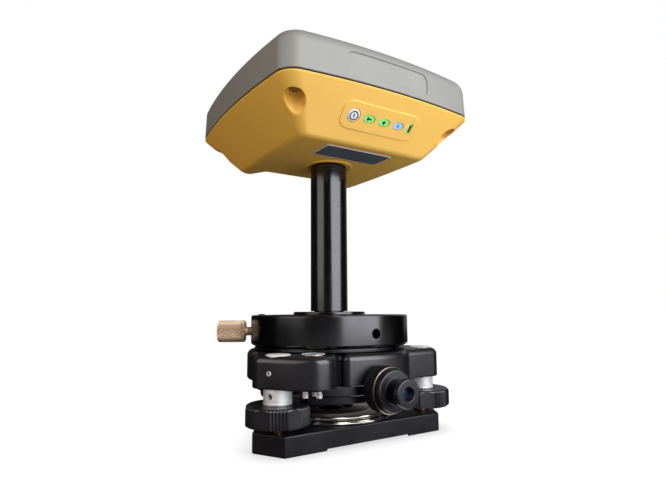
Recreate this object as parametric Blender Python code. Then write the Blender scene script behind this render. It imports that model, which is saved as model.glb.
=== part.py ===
"""Satellite positioning receiver on a pole, a rotating adapter and a levelling base.

The plumb axis is Z, the base plate's pads stand on z = 0, and the receiver's panel and the
plummet's eyepiece face the front, -Y. Lengths are in metres.
"""

import math

import bmesh
import bpy
from mathutils import Vector

MM = 0.001

# Clearances
SEAT_GAP = 0.3 * MM
RUN_GAP = 0.3 * MM
SEAM_GAP = 0.25 * MM
OVERCUT = 2.0 * MM
WELD_DISTANCE = 0.01 * MM
EMPTY_SIZE = 10 * MM
SMOOTH_ANGLE = math.radians(35)

# Base plate
PLATE_MARGIN = 9.2 * MM
PLATE_END_HALF_WIDTH = 10.9 * MM
PLATE_THICKNESS = 11.5 * MM
PLATE_CHAMFER = 0.9 * MM
RELIEF_RADIUS = 54.0 * MM
RELIEF_DEPTH = 1.3 * MM

# Tripod thread, 5/8 inch
TRIPOD_BORE = 8.0 * MM
INSERT_RADIUS = 12.0 * MM
INSERT_FLANGE_RADIUS = 15.5 * MM
INSERT_FLANGE_THICKNESS = 1.8 * MM

# Spring plate, a dished sheet
DISH_RADIUS = 45.0 * MM
DISH_SHOULDER = 40.3 * MM
DISH_RISE = 2.4 * MM
DISH_SHEET = 1.0 * MM

# Foot screws
FOOT_ANGLES = {"front_left": 210.0, "front_right": 330.0, "back": 90.0}
FOOT_CIRCLE = 62.3 * MM
FOOT_BALL_RADIUS = 5.0 * MM
FOOT_SOCKET_FLOOR = 2.3 * MM
FOOT_NECK_RADIUS = 3.2 * MM
SPINDLE_RADIUS = 4.0 * MM
SPINDLE_REACH = 3.0 * MM
KNOB_RADIUS = 18.7 * MM
KNOB_STAND = 3.7 * MM
KNOB_HEIGHT = 11.3 * MM
KNOB_CHAMFER = 1.1 * MM
KNOB_GROUPS = 6
KNOB_FLUTES = 4
FLUTE_DEPTH = 0.6 * MM
FLUTE_PITCH = 6.6
KNOB_HOLLOW = 0.9 * MM
KNOB_FLOOR = 3.2 * MM
BUSH_RADIUS = 8.3 * MM
BUSH_SINK = 4.2 * MM
BUSH_COVER = 8.5 * MM
CAPSTAN_RADIUS = 1.8 * MM
CAPSTAN_DROP = 3.9 * MM
CAPSTAN_DEPTH = 2.4 * MM
CAP_RADIUS = 7.2 * MM
CAP_RECESS_DEPTH = 1.2 * MM
CAP_CROWN = 1.9 * MM

# Tribrach housing
HOUSING_STAND = 8.7 * MM
HOUSING_HEIGHT = 18.3 * MM
HOUSING_EDGE = 1.6 * MM
HOUSING_RADIUS = 55.5 * MM
LOBE_WALL = 9.7 * MM
LOBE_HALF_ANGLE = 9.0
LOBE_ROOT_ANGLE = 27.0
LOBE_FILLET = 8.0 * MM
LEVEL_LOBE_START = 11.5
LEVEL_LOBE_ANGLE = 29.5
LEVEL_LOBE_FILLET = 12.0 * MM
PAD_DISTANCE = 55.0 * MM
PAD_HALF_WIDTH = 22.0 * MM
PAD_RECESS_RADIUS = 50.0 * MM
PAD_RECESS_TURN = 35.5
HOUSING_BORE = 22.0 * MM
SET_HOLE_RADIUS = 1.5 * MM
SET_HOLE_DEPTH = 3.0 * MM
SET_HOLE_RISE = 8.8 * MM

# Lower cover of the housing
COVER_RADIUS = 50.3 * MM
COVER_RIM = 6.1 * MM
COVER_STEP_RADIUS = 46.5 * MM
COVER_STEP_DEPTH = 5.2 * MM
COVER_KNOB_CLEARANCE = 0.7 * MM
LOWERING = 3.0 * MM

# Circular level
LEVEL_TURN = 19.0
LEVEL_INSET = 14.1 * MM
LEVEL_RADIUS = 6.9 * MM
LEVEL_WALL = 1.0 * MM
LEVEL_DEPTH = 7.5 * MM
LEVEL_STAND = 0.6 * MM
LEVEL_FLOOR = 2.0 * MM
LEVEL_SCREWS = 3
LEVEL_SCREW_CIRCLE = 4.6 * MM
LEVEL_SCREW_RADIUS = 1.7 * MM
LEVEL_SCREW_DROP = 5.2 * MM

# Optical plummet, along -Y
PLUMMET_DROP = 1.7 * MM
BARREL_RADIUS = 7.0 * MM
BARREL_BORE = 5.0 * MM
BARREL_INNER_END = 6.0 * MM
FOCUS_STAND = 2.3 * MM
FOCUS_LENGTH = 9.9 * MM
FOCUS_RADIUS = 13.4 * MM
FOCUS_RIB_DEPTH = 0.5 * MM
FOCUS_RIBS = 30
EYEPIECE_LENGTH = 14.5 * MM
EYEPIECE_COLLAR_RADIUS = 11.8 * MM
EYEPIECE_COLLAR_LENGTH = 3.2 * MM
EYEPIECE_WAIST_RADIUS = 7.3 * MM
EYEPIECE_RADIUS = 8.0 * MM
EYEPIECE_HEAD = 4.2 * MM
EYEPIECE_BORE = 3.8 * MM
EYEPIECE_SPIGOT = 6.0 * MM
EYE_LENS_DEPTH = 4.0 * MM
EYE_LENS_THICKNESS = 1.6 * MM
SIGHT_BORE = 2.4 * MM
PRISM_SIZE = 9.0 * MM
OBJECTIVE_RADIUS = 6.0 * MM
OBJECTIVE_THICKNESS = 2.4 * MM

# Locking plate and knob
LOCK_ANGLE = 30.0
PLATE_RING_OUTER = 42.0 * MM
PLATE_RING_INNER = 25.0 * MM
LOCK_PLATE_SINK = 7.1 * MM
LOCK_PLATE_THICKNESS = 2.8 * MM
LOCK_ROOM = 0.5 * MM
LOCK_TURN = 120.0
LOCK_SHAFT_RADIUS = 3.0 * MM
LOCK_SHAFT_RISE = 0.2 * MM
LOCK_THROW = 1.7 * MM
LOCK_PIN_RADIUS = 1.2 * MM
LOCK_PIN_REACH = 4.0 * MM
LOCK_PIN_OVERLAP = 1.0 * MM
LOCK_SLOT_GAP = 0.6 * MM
LOCK_KNOB_RADIUS = 10.5 * MM
LOCK_KNOB_BASE = 5.0 * MM
LOCK_GRIP_LENGTH = 9.0 * MM
LOCK_GRIP_WIDTH = 7.0 * MM

# Rotating adapter
ADAPTER_BASE_INSET = 2.7 * MM
ADAPTER_BASE_THICKNESS = 2.3 * MM
PIN_CIRCLE = 33.0 * MM
PIN_RADIUS = 4.0 * MM
PIN_GAP = 0.9 * MM
SPINDLE_POST_RADIUS = 14.0 * MM
SPINDLE_POST_BORE = 8.0 * MM
DISC_ROOF = 7.8 * MM
BEARING_WALL = 2.0 * MM
DISC_RADIUS = 53.2 * MM
DISC_HEIGHT = 19.4 * MM
DISC_LOWER_CHAMFER = 1.9 * MM
DISC_UPPER_CHAMFER = 1.1 * MM
SIDE_HOLE_RADIUS = 3.1 * MM
SIDE_HOLE_DEPTH = 15.0 * MM
SIDE_HOLE_DROP = 11.0 * MM
GRUB_LENGTH = 9.0 * MM
CLAMP_ANGLE = 150.0
CLAMP_DROP = 10.8 * MM
CLAMP_STEM_RADIUS = 2.95 * MM
CLAMP_STEM_DEPTH = 13.2 * MM
CLAMP_NECK = 4.2 * MM
CLAMP_KNOB_LENGTH = 18.3 * MM
CLAMP_KNOB_RADIUS = 7.5 * MM
CLAMP_CHAMFER = 0.9 * MM

# Pole
STUD_RADIUS = 7.8 * MM
ADAPTER_STUD_REACH = 16.2 * MM
FLANGE_RADIUS = 24.6 * MM
FLANGE_THICKNESS = 1.8 * MM
POLE_RADIUS = 12.8 * MM
POLE_WALL = 2.3 * MM
POLE_LENGTH = 102.2 * MM
SPIGOT_HEIGHT = 17.0 * MM
RECEIVER_STUD_LENGTH = 13.0 * MM
STUD_PLUG_LENGTH = 20.0 * MM

# Receiver
RECEIVER_HEIGHT = 64.0 * MM
SHELL_DEPTH = 27.3 * MM
SEAL_THICKNESS = 0.5 * MM
SEAL_INSET = 0.4 * MM
RECEIVER_HALF = 75.0 * MM
RECEIVER_BOW = 3.65 * MM
RECEIVER_CORNER = 12.7 * MM
UNDERSIDE_HALF = 48.5 * MM
UNDERSIDE_BOW = 1.0 * MM
UNDERSIDE_CORNER = 5.0 * MM
UNDERSIDE_EDGE = 3.2 * MM
SHELL_WALL = 2.5 * MM
RIM_HEIGHT = 1.0 * MM
COVER_DRAFT = 0.6 * MM
COVER_WALL_HEIGHT = 16.5 * MM
COVER_SHOULDER = 10.0 * MM
SCREW_INSET = 17.0 * MM
SCALLOP_RADIUS = 6.0 * MM
SCALLOP_ROOF = 4.0 * MM
SCALLOP_WALL = 2.3 * MM
SCREW_HEAD_RADIUS = 3.4 * MM
SCREW_HEAD_HEIGHT = 2.8 * MM
SCREW_SHANK_RADIUS = 1.6 * MM
SCREW_SHANK_LENGTH = 13.0 * MM
COVER_BOSS_RADIUS = 5.0 * MM

# Front panel of the receiver
PANEL_RISE = 12.9 * MM
PANEL_WIDTH = 57.0 * MM
PANEL_DEPTH = 17.0 * MM
PANEL_CORNER = 6.0 * MM
PANEL_STEP = 0.5 * MM
BUTTON_OFFSET = -20.5 * MM
BUTTON_RADIUS = 4.15 * MM
BUTTON_STAND = 0.3 * MM
BUTTON_EDGE = 0.5 * MM
BUTTON_LENGTH = 4.4 * MM
LENS_OFFSETS = {"lens_left": -9.2 * MM, "lens_middle": 2.0 * MM, "lens_right": 13.2 * MM}
LENS_WIDTH = 7.8 * MM
LENS_DEPTH = 4.8 * MM
LENS_SINK = 0.3 * MM
LENS_THICKNESS = 3.2 * MM
BATTERY_WINDOW_OFFSET = 22.4 * MM
BATTERY_WINDOW_WIDTH = 3.0 * MM
BATTERY_WINDOW_DEPTH = 6.8 * MM
WINDOW_CORNER = 1.2 * MM

# Port bay at the back of the receiver
BAY_HALF_WIDTH = 34.0 * MM
BAY_INSET = 15.5 * MM
BAY_FRAME = 9.0 * MM
BAY_LIP = 5.0 * MM
PORT_OFFSET = 0.5 * MM
PORT_RADIUS = 6.0 * MM
PORT_LENGTH = 7.0 * MM
PORT_CAP_RADIUS = 7.6 * MM
PORT_CAP_THICKNESS = 2.6 * MM
PORT_CAP_PLUG = 4.2 * MM
PORT_HINGE_OFFSET = 9.6 * MM

# Inside the receiver
MOUNT_INSERT_RADIUS = 12.0 * MM
MOUNT_INSERT_LENGTH = 15.0 * MM
MOUNT_BOSS_WALL = 3.0 * MM
BOARD_HALF = 50.0 * MM
BOARD_THICKNESS = 1.6 * MM
POST_OFFSET = 44.0 * MM
POST_RADIUS = 3.0 * MM
GROUND_HALF = 46.0 * MM
GROUND_THICKNESS = 1.5 * MM
GROUND_STANDOFF = 9.6 * MM
GROUND_LEG = 7.0 * MM
PATCH_HALF = 28.0 * MM
PATCH_THICKNESS = 7.0 * MM
BATTERY_LENGTH = 60.0 * MM
BATTERY_WIDTH = 22.0 * MM
BATTERY_HEIGHT = 18.0 * MM
BATTERY_OFFSET = 31.0 * MM
BATTERY_CORNER = 3.75 * MM

# Heights and distances that follow from the sizes above
PLATE_END = FOOT_CIRCLE + PLATE_MARGIN
LOBE_REACH = FOOT_CIRCLE + LOBE_WALL
LEVEL_CIRCLE = LOBE_REACH - LEVEL_INSET
LEVEL_ANGLE = FOOT_ANGLES["front_left"] + LEVEL_TURN
PAD_RECESS_ANGLE = FOOT_ANGLES["front_left"] + PAD_RECESS_TURN
KNOB_BOTTOM = PLATE_THICKNESS + KNOB_STAND
KNOB_TOP = KNOB_BOTTOM + KNOB_HEIGHT
HOUSING_BOTTOM = KNOB_TOP + HOUSING_STAND
HOUSING_TOP = HOUSING_BOTTOM + HOUSING_HEIGHT
BUSH_BOTTOM = KNOB_TOP - BUSH_SINK
BUSH_TOP = HOUSING_TOP - BUSH_COVER
SPINDLE_TOP = BUSH_TOP + SPINDLE_REACH
CAPSTAN_HEIGHT = HOUSING_BOTTOM - CAPSTAN_DROP
SET_HOLE_HEIGHT = HOUSING_BOTTOM + SET_HOLE_RISE
COVER_STEP = HOUSING_BOTTOM - SEAT_GAP - COVER_RIM
COVER_BOTTOM = COVER_STEP - COVER_STEP_DEPTH
LEVEL_SCREW_END = HOUSING_BOTTOM - LEVEL_SCREW_DROP
PLUMMET_HEIGHT = HOUSING_BOTTOM - PLUMMET_DROP
FOCUS_BACK = PAD_DISTANCE + FOCUS_STAND
FOCUS_FRONT = FOCUS_BACK + FOCUS_LENGTH
EYEPIECE_FRONT = FOCUS_FRONT + EYEPIECE_LENGTH
LOCK_PLATE_TOP = HOUSING_TOP - LOCK_PLATE_SINK
LOCK_PLATE_BOTTOM = LOCK_PLATE_TOP - LOCK_PLATE_THICKNESS
LOCK_SHAFT_HEIGHT = LOCK_PLATE_BOTTOM + LOCK_SHAFT_RISE
LOCK_PIN_START = PLATE_RING_OUTER - LOCK_PIN_REACH
LOCK_PIN_CIRCLE = PLATE_RING_OUTER - LOCK_PIN_OVERLAP
ADAPTER_BASE_RADIUS = DISC_RADIUS - ADAPTER_BASE_INSET
DISC_BOTTOM = HOUSING_TOP + SEAT_GAP + ADAPTER_BASE_THICKNESS + RUN_GAP
DISC_TOP = DISC_BOTTOM + DISC_HEIGHT
SPINDLE_POST_TOP = DISC_TOP - DISC_ROOF
SIDE_HOLE_HEIGHT = DISC_TOP - SIDE_HOLE_DROP
CLAMP_HEIGHT = DISC_TOP - CLAMP_DROP
CLAMP_STEM_END = DISC_RADIUS - CLAMP_STEM_DEPTH
CLAMP_KNOB_START = DISC_RADIUS + CLAMP_NECK
CLAMP_KNOB_END = CLAMP_KNOB_START + CLAMP_KNOB_LENGTH
ADAPTER_STUD_TOP = DISC_TOP + ADAPTER_STUD_REACH
POLE_BOTTOM = DISC_TOP + SEAT_GAP + FLANGE_THICKNESS + SEAT_GAP
POLE_TOP = POLE_BOTTOM + POLE_LENGTH
RECEIVER_UNDERSIDE = POLE_TOP + SEAT_GAP
PARTING_HEIGHT = RECEIVER_UNDERSIDE + SHELL_DEPTH
RECEIVER_TOP = RECEIVER_UNDERSIDE + RECEIVER_HEIGHT
SCREW_OFFSET = RECEIVER_HALF - SCREW_INSET
SCALLOP_CEILING = PARTING_HEIGHT - SCALLOP_ROOF
PANEL_HEIGHT = RECEIVER_UNDERSIDE + PANEL_RISE
BAY_EDGE = UNDERSIDE_HALF - BAY_INSET
BAY_DEPTH_END = RECEIVER_HALF - BAY_FRAME
BAY_TOP = PARTING_HEIGHT - BAY_LIP
PORT_DISTANCE = (BAY_EDGE + BAY_DEPTH_END) / 2 + PORT_OFFSET

# Finishes: colour, roughness, metallic
FINISHES = {
    "black_paint": ((0.012, 0.012, 0.014), 0.45, 0.0),
    "black_anodised": ((0.010, 0.010, 0.012), 0.30, 0.6),
    "bright_metal": ((0.72, 0.72, 0.73), 0.28, 1.0),
    "steel": ((0.55, 0.55, 0.56), 0.30, 1.0),
    "brass": ((0.60, 0.40, 0.24), 0.35, 1.0),
    "bronze": ((0.45, 0.30, 0.15), 0.40, 1.0),
    "grey_plastic": ((0.40, 0.40, 0.38), 0.50, 0.0),
    "yellow_plastic": ((0.83, 0.50, 0.12), 0.45, 0.0),
    "seal_rubber": ((0.03, 0.03, 0.03), 0.70, 0.0),
    "button_plastic": ((0.70, 0.70, 0.70), 0.35, 0.0),
    "green_lens": ((0.12, 0.65, 0.14), 0.15, 0.0),
    "blue_lens": ((0.20, 0.42, 0.80), 0.15, 0.0),
    "optical_glass": ((0.20, 0.26, 0.45), 0.05, 0.0),
    "level_glass": ((0.55, 0.70, 0.35), 0.05, 0.0),
    "circuit_board": ((0.03, 0.18, 0.08), 0.55, 0.0),
    "ceramic": ((0.75, 0.72, 0.64), 0.60, 0.0),
    "battery_wrap": ((0.10, 0.12, 0.16), 0.50, 0.0),
}


def clear_scene():
    """Remove every object that the file opened with."""
    for old in list(bpy.data.objects):
        bpy.data.objects.remove(old, do_unlink=True)


def finish(name):
    """Return the material of a finish, made on first use."""
    found = bpy.data.materials.get(name)
    if found:
        return found
    colour, roughness, metallic = FINISHES[name]
    made = bpy.data.materials.new(name)
    made.use_nodes = True
    shader = made.node_tree.nodes["Principled BSDF"]
    shader.inputs["Base Color"].default_value = (*colour, 1.0)
    shader.inputs["Roughness"].default_value = roughness
    shader.inputs["Metallic"].default_value = metallic
    made.diffuse_color = (*colour, 1.0)
    return made


def pivot(name, location, rotation=(0.0, 0.0, 0.0)):
    """Add an empty that carries the pieces of one axis or frame."""
    empty = bpy.data.objects.new(name, None)
    empty.location = location
    empty.rotation_euler = rotation
    empty.empty_display_size = EMPTY_SIZE
    bpy.context.scene.collection.objects.link(empty)
    return empty


def radial_pivot(name, angle, height):
    """Add an empty on the plumb axis whose local Z points outwards at an angle."""
    return pivot(name, (0, 0, height), (0, math.pi / 2, math.radians(angle)))


def solid(name, bm, finish_name=None, carrier=None):
    """Turn a bmesh into an object; with no finish it is a cutter."""
    bmesh.ops.recalc_face_normals(bm, faces=bm.faces)
    mesh = bpy.data.meshes.new(name)
    bm.to_mesh(mesh)
    bm.free()
    made = bpy.data.objects.new(name, mesh)
    bpy.context.scene.collection.objects.link(made)
    made.parent = carrier
    if finish_name:
        mesh.materials.append(finish(finish_name))
        mesh.shade_smooth()
        mesh.set_sharp_from_angle(angle=SMOOTH_ANGLE)
    else:
        made.hide_render = True
        made.display_type = "WIRE"
    return made


def turned(profile, sides, closed=True):
    """Spin a profile of (radius, height) points about Z; an open one ends on the axis."""
    bm = bmesh.new()
    verts = [bm.verts.new((radius, 0, height)) for radius, height in profile]
    following = verts[1:] + verts[:1] if closed else verts[1:]
    edges = [bm.edges.new(pair) for pair in zip(verts, following)]
    bmesh.ops.spin(bm, geom=verts + edges, cent=(0, 0, 0), axis=(0, 0, 1),
                   angle=math.tau, steps=sides, use_merge=True)
    bmesh.ops.remove_doubles(bm, verts=bm.verts, dist=WELD_DISTANCE)
    return bm


def lofted(rings):
    """Bridge rings of equal count and close both ends."""
    bm = bmesh.new()
    loops = [[bm.verts.new(point) for point in ring] for ring in rings]
    count = len(loops[0])
    for lower, upper in zip(loops, loops[1:]):
        for i in range(count):
            j = (i + 1) % count
            bm.faces.new((lower[i], lower[j], upper[j], upper[i]))
    bm.faces.new(reversed(loops[0]))
    bm.faces.new(loops[-1])
    return bm


def prism(outline, bottom, top):
    """Extrude an outline of (x, y) points between two heights."""
    return lofted([[(x, y, z) for x, y in outline] for z in (bottom, top)])


def rod(radius, bottom, top, sides=16):
    """Return a plain cylinder about Z."""
    return prism(circle(radius, sides), bottom, top)


def circle(radius, sides, centre=(0.0, 0.0)):
    """Return the points of a circle."""
    steps = [math.tau * i / sides for i in range(sides)]
    return [(centre[0] + radius * math.cos(a), centre[1] + radius * math.sin(a)) for a in steps]


def polar(radius, angle):
    """Return the (x, y) point at a radius and an angle in degrees."""
    return (radius * math.cos(math.radians(angle)), radius * math.sin(math.radians(angle)))


def rounded(corners, steps=2):
    """Round the corners of an outline; each corner is ((x, y), fillet radius)."""
    points = []
    count = len(corners)
    for i, (corner, fillet) in enumerate(corners):
        here = Vector(corner)
        back = (Vector(corners[i - 1][0]) - here).normalized()
        ahead = (Vector(corners[(i + 1) % count][0]) - here).normalized()
        half = back.angle(ahead) / 2
        if fillet == 0 or half > math.radians(88):
            points.append(tuple(here))
            continue
        reach = fillet / math.tan(half)
        centre = here + (back + ahead).normalized() * (fillet / math.sin(half))
        start = here + back * reach - centre
        sweep = start.angle_signed(here + ahead * reach - centre)
        for step in range(steps + 1):
            turn = -sweep * step / steps
            spoke = Vector((start.x * math.cos(turn) - start.y * math.sin(turn),
                            start.x * math.sin(turn) + start.y * math.cos(turn)))
            points.append(tuple(centre + spoke))
    return points


def rounded_rectangle(width, depth, fillet, centre=(0.0, 0.0), steps=2):
    """Return a rectangle with rounded corners."""
    x, y = width / 2, depth / 2
    corners = [(-x, -y), (x, -y), (x, y), (-x, y)]
    return rounded([((cx + centre[0], cy + centre[1]), fillet) for cx, cy in corners], steps)


def combine(target, other, operation="DIFFERENCE"):
    """Cut, or join, one solid with another that stays hidden."""
    other.hide_render = True
    other.display_type = "WIRE"
    modifier = target.modifiers.new(other.name, "BOOLEAN")
    modifier.operation = operation
    modifier.solver = "EXACT"
    modifier.object = other
    return target


def cut(target, label, bm, carrier=None):
    """Cut a shape out of a solid."""
    return combine(target, solid(target.name + "_" + label, bm, carrier=carrier))


def join(target, label, bm, carrier=None):
    """Join a shape to a solid."""
    extra = solid(target.name + "_" + label, bm, carrier=carrier)
    return combine(target, extra, "UNION")


def bored(target, label, radius, bottom, top, centre=(0.0, 0.0), sides=16):
    """Bore an upright round hole."""
    return cut(target, label, prism(circle(radius, sides, centre), bottom, top))


def edge_chamfer(target, width, angle=50.0):
    """Chamfer the sharp edges of a solid."""
    modifier = target.modifiers.new("edge", "BEVEL")
    modifier.width = width
    modifier.segments = 1
    modifier.limit_method = "ANGLE"
    modifier.angle_limit = math.radians(angle)
    return target


def base_plate():
    """Truncated triangle with relieved underside, thread hole and three ball sockets."""
    outline = []
    for angle in sorted(FOOT_ANGLES.values()):
        along = Vector(polar(PLATE_END, angle))
        across = Vector(polar(PLATE_END_HALF_WIDTH, angle + 90))
        outline += [tuple(along - across), tuple(along + across)]
    plate = solid("base_plate", prism(outline, 0, PLATE_THICKNESS), "black_paint")
    edge_chamfer(plate, PLATE_CHAMFER)
    bored(plate, "relief", RELIEF_RADIUS, -OVERCUT, RELIEF_DEPTH, sides=30)
    bored(plate, "thread", INSERT_RADIUS + SEAT_GAP, 0, PLATE_THICKNESS + OVERCUT, sides=16)
    for foot, angle in FOOT_ANGLES.items():
        bored(plate, "socket_" + foot, FOOT_BALL_RADIUS + RUN_GAP, FOOT_SOCKET_FLOOR,
              PLATE_THICKNESS + OVERCUT, polar(FOOT_CIRCLE, angle))


def thread_insert():
    """Flanged bush with the tripod thread's bore."""
    seat = PLATE_THICKNESS + SEAT_GAP
    profile = [
        (TRIPOD_BORE, RELIEF_DEPTH + SEAT_GAP),
        (INSERT_RADIUS, RELIEF_DEPTH + SEAT_GAP),
        (INSERT_RADIUS, seat),
        (INSERT_FLANGE_RADIUS, seat),
        (INSERT_FLANGE_RADIUS, seat + INSERT_FLANGE_THICKNESS),
        (TRIPOD_BORE, seat + INSERT_FLANGE_THICKNESS),
    ]
    solid("thread_insert", turned(profile, 16), "brass")


def spring_plate():
    """Polished sheet with a raised table, clamped round the thread insert."""
    low = PLATE_THICKNESS + SEAT_GAP
    high = low + DISH_RISE
    bore = INSERT_FLANGE_RADIUS + SEAT_GAP
    top_shoulder = DISH_SHOULDER - DISH_RISE
    profile = [
        (bore, high),
        (top_shoulder, high),
        (DISH_SHOULDER, low),
        (DISH_RADIUS, low),
        (DISH_RADIUS, low + DISH_SHEET),
        (DISH_SHOULDER + DISH_SHEET / 2, low + DISH_SHEET),
        (top_shoulder + DISH_SHEET / 2, high + DISH_SHEET),
        (bore, high + DISH_SHEET),
    ]
    solid("spring_plate", turned(profile, 32), "steel")


def knob_outline():
    """Fluted knob: groups of flutes with shallow hollows between them."""
    points = []
    group_step = 360 / KNOB_GROUPS
    hollow_half = (group_step - KNOB_FLUTES * FLUTE_PITCH) / 2
    for group in range(KNOB_GROUPS):
        first = group * group_step - KNOB_FLUTES * FLUTE_PITCH / 2
        for flute in range(KNOB_FLUTES):
            points.append(polar(KNOB_RADIUS, first + flute * FLUTE_PITCH))
            points.append(polar(KNOB_RADIUS - FLUTE_DEPTH, first + (flute + 0.5) * FLUTE_PITCH))
        last = first + KNOB_FLUTES * FLUTE_PITCH
        points.append(polar(KNOB_RADIUS, last))
        points.append(polar(KNOB_RADIUS - KNOB_HOLLOW, last + hollow_half))
    return points


def foot_screw(foot, angle):
    """One foot screw: fluted knob and ball-ended spindle on one upright axis."""
    axis = pivot("foot_screw_" + foot + "_axis", (*polar(FOOT_CIRCLE, angle), 0))
    outline = knob_outline()
    shrink = 1 - KNOB_CHAMFER / KNOB_RADIUS
    levels = [(1, KNOB_BOTTOM), (1, KNOB_TOP - KNOB_CHAMFER), (shrink, KNOB_TOP)]
    rings = [[(x * scale, y * scale, z) for x, y in outline] for scale, z in levels]
    knob = solid("foot_knob_" + foot, lofted(rings), "black_paint", axis)
    cut(knob, "bore", rod(SPINDLE_RADIUS + SEAT_GAP, 0, KNOB_TOP), axis)
    cut(knob, "well", rod(BUSH_RADIUS + 2 * RUN_GAP, KNOB_BOTTOM + KNOB_FLOOR,
                          KNOB_TOP + OVERCUT, 16), axis)
    ball = FOOT_SOCKET_FLOOR + SEAT_GAP + FOOT_BALL_RADIUS
    profile = [(0, ball - FOOT_BALL_RADIUS)]
    for latitude in (-55, -20, 15):
        side = math.radians(latitude)
        profile.append((FOOT_BALL_RADIUS * math.cos(side), ball + FOOT_BALL_RADIUS * math.sin(side)))
    neck = math.sqrt(FOOT_BALL_RADIUS ** 2 - FOOT_NECK_RADIUS ** 2)
    profile += [
        (FOOT_NECK_RADIUS, ball + neck),
        (FOOT_NECK_RADIUS, KNOB_BOTTOM - SEAT_GAP),
        (SPINDLE_RADIUS, KNOB_BOTTOM - SEAT_GAP),
        (SPINDLE_RADIUS, SPINDLE_TOP),
        (0, SPINDLE_TOP),
    ]
    solid("foot_spindle_" + foot, turned(profile, 10, closed=False), "steel", axis)


def foot_bush(foot, angle):
    """Bright bush that the spindle's thread runs in, with two capstan holes."""
    place = pivot("foot_bush_" + foot + "_place", (*polar(FOOT_CIRCLE, angle), 0),
                  (0, 0, math.radians(angle)))
    bore = SPINDLE_RADIUS + RUN_GAP
    profile = [(bore, BUSH_BOTTOM), (BUSH_RADIUS, BUSH_BOTTOM), (BUSH_RADIUS, BUSH_TOP),
               (bore, BUSH_TOP)]
    bush = solid("foot_bush_" + foot, turned(profile, 14), "bright_metal", place)
    for label, turn in (("outer", 0.0), ("inner", math.pi)):
        hole = pivot("foot_bush_" + foot + "_" + label, (0, 0, CAPSTAN_HEIGHT), (0, math.pi / 2, turn))
        hole.parent = place
        cut(bush, label, rod(CAPSTAN_RADIUS, BUSH_RADIUS - CAPSTAN_DEPTH, BUSH_RADIUS + OVERCUT, 8), hole)


def foot_cap(foot, angle):
    """Bright crowned cap over a foot screw's bore."""
    recess = HOUSING_TOP - CAP_RECESS_DEPTH
    place = pivot("foot_cap_" + foot + "_place", (*polar(FOOT_CIRCLE, angle), recess))
    edge = CAP_RECESS_DEPTH + SEAT_GAP
    profile = [(0, SEAT_GAP), (CAP_RADIUS, SEAT_GAP), (CAP_RADIUS, edge),
               (0.8 * CAP_RADIUS, 0.9 * CAP_CROWN), (0, CAP_CROWN)]
    solid("foot_cap_" + foot, turned(profile, 14, closed=False), "bright_metal", place)


def housing_outline():
    """Round body with three lobes, the wider level lobe and the flat plummet pad."""
    tip = LOBE_REACH / math.cos(math.radians(LOBE_HALF_ANGLE))
    corners = []

    def corner(radius, angle, fillet):
        corners.append((polar(radius, angle), fillet))

    def body_arc(start, end, count):
        for i in range(count):
            corner(HOUSING_RADIUS, start + (end - start) * i / (count - 1), 0)

    back, left, right = FOOT_ANGLES["back"], FOOT_ANGLES["front_left"], FOOT_ANGLES["front_right"]
    corner(tip, back - LOBE_HALF_ANGLE, LOBE_FILLET)
    corner(tip, back + LOBE_HALF_ANGLE, LOBE_FILLET)
    body_arc(back + LOBE_ROOT_ANGLE, left - LOBE_ROOT_ANGLE, 6)
    corner(tip, left - LOBE_HALF_ANGLE, LOBE_FILLET)
    corner(LOBE_REACH, left + LEVEL_LOBE_START, 0)
    corner(tip, left + LEVEL_LOBE_ANGLE, LEVEL_LOBE_FILLET)
    corner(PAD_RECESS_RADIUS, PAD_RECESS_ANGLE, LOBE_FILLET / 2)
    corners.append(((-PAD_HALF_WIDTH, -PAD_DISTANCE), LOBE_FILLET / 3))
    corners.append(((PAD_HALF_WIDTH, -PAD_DISTANCE), LOBE_FILLET / 3))
    corner(HOUSING_RADIUS, right - LOBE_ROOT_ANGLE, LOBE_FILLET / 2)
    corner(tip, right - LOBE_HALF_ANGLE, LOBE_FILLET)
    corner(tip, right + LOBE_HALF_ANGLE, LOBE_FILLET)
    body_arc(right + LOBE_ROOT_ANGLE, back - LOBE_ROOT_ANGLE + 360, 6)
    return rounded(corners)


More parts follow.
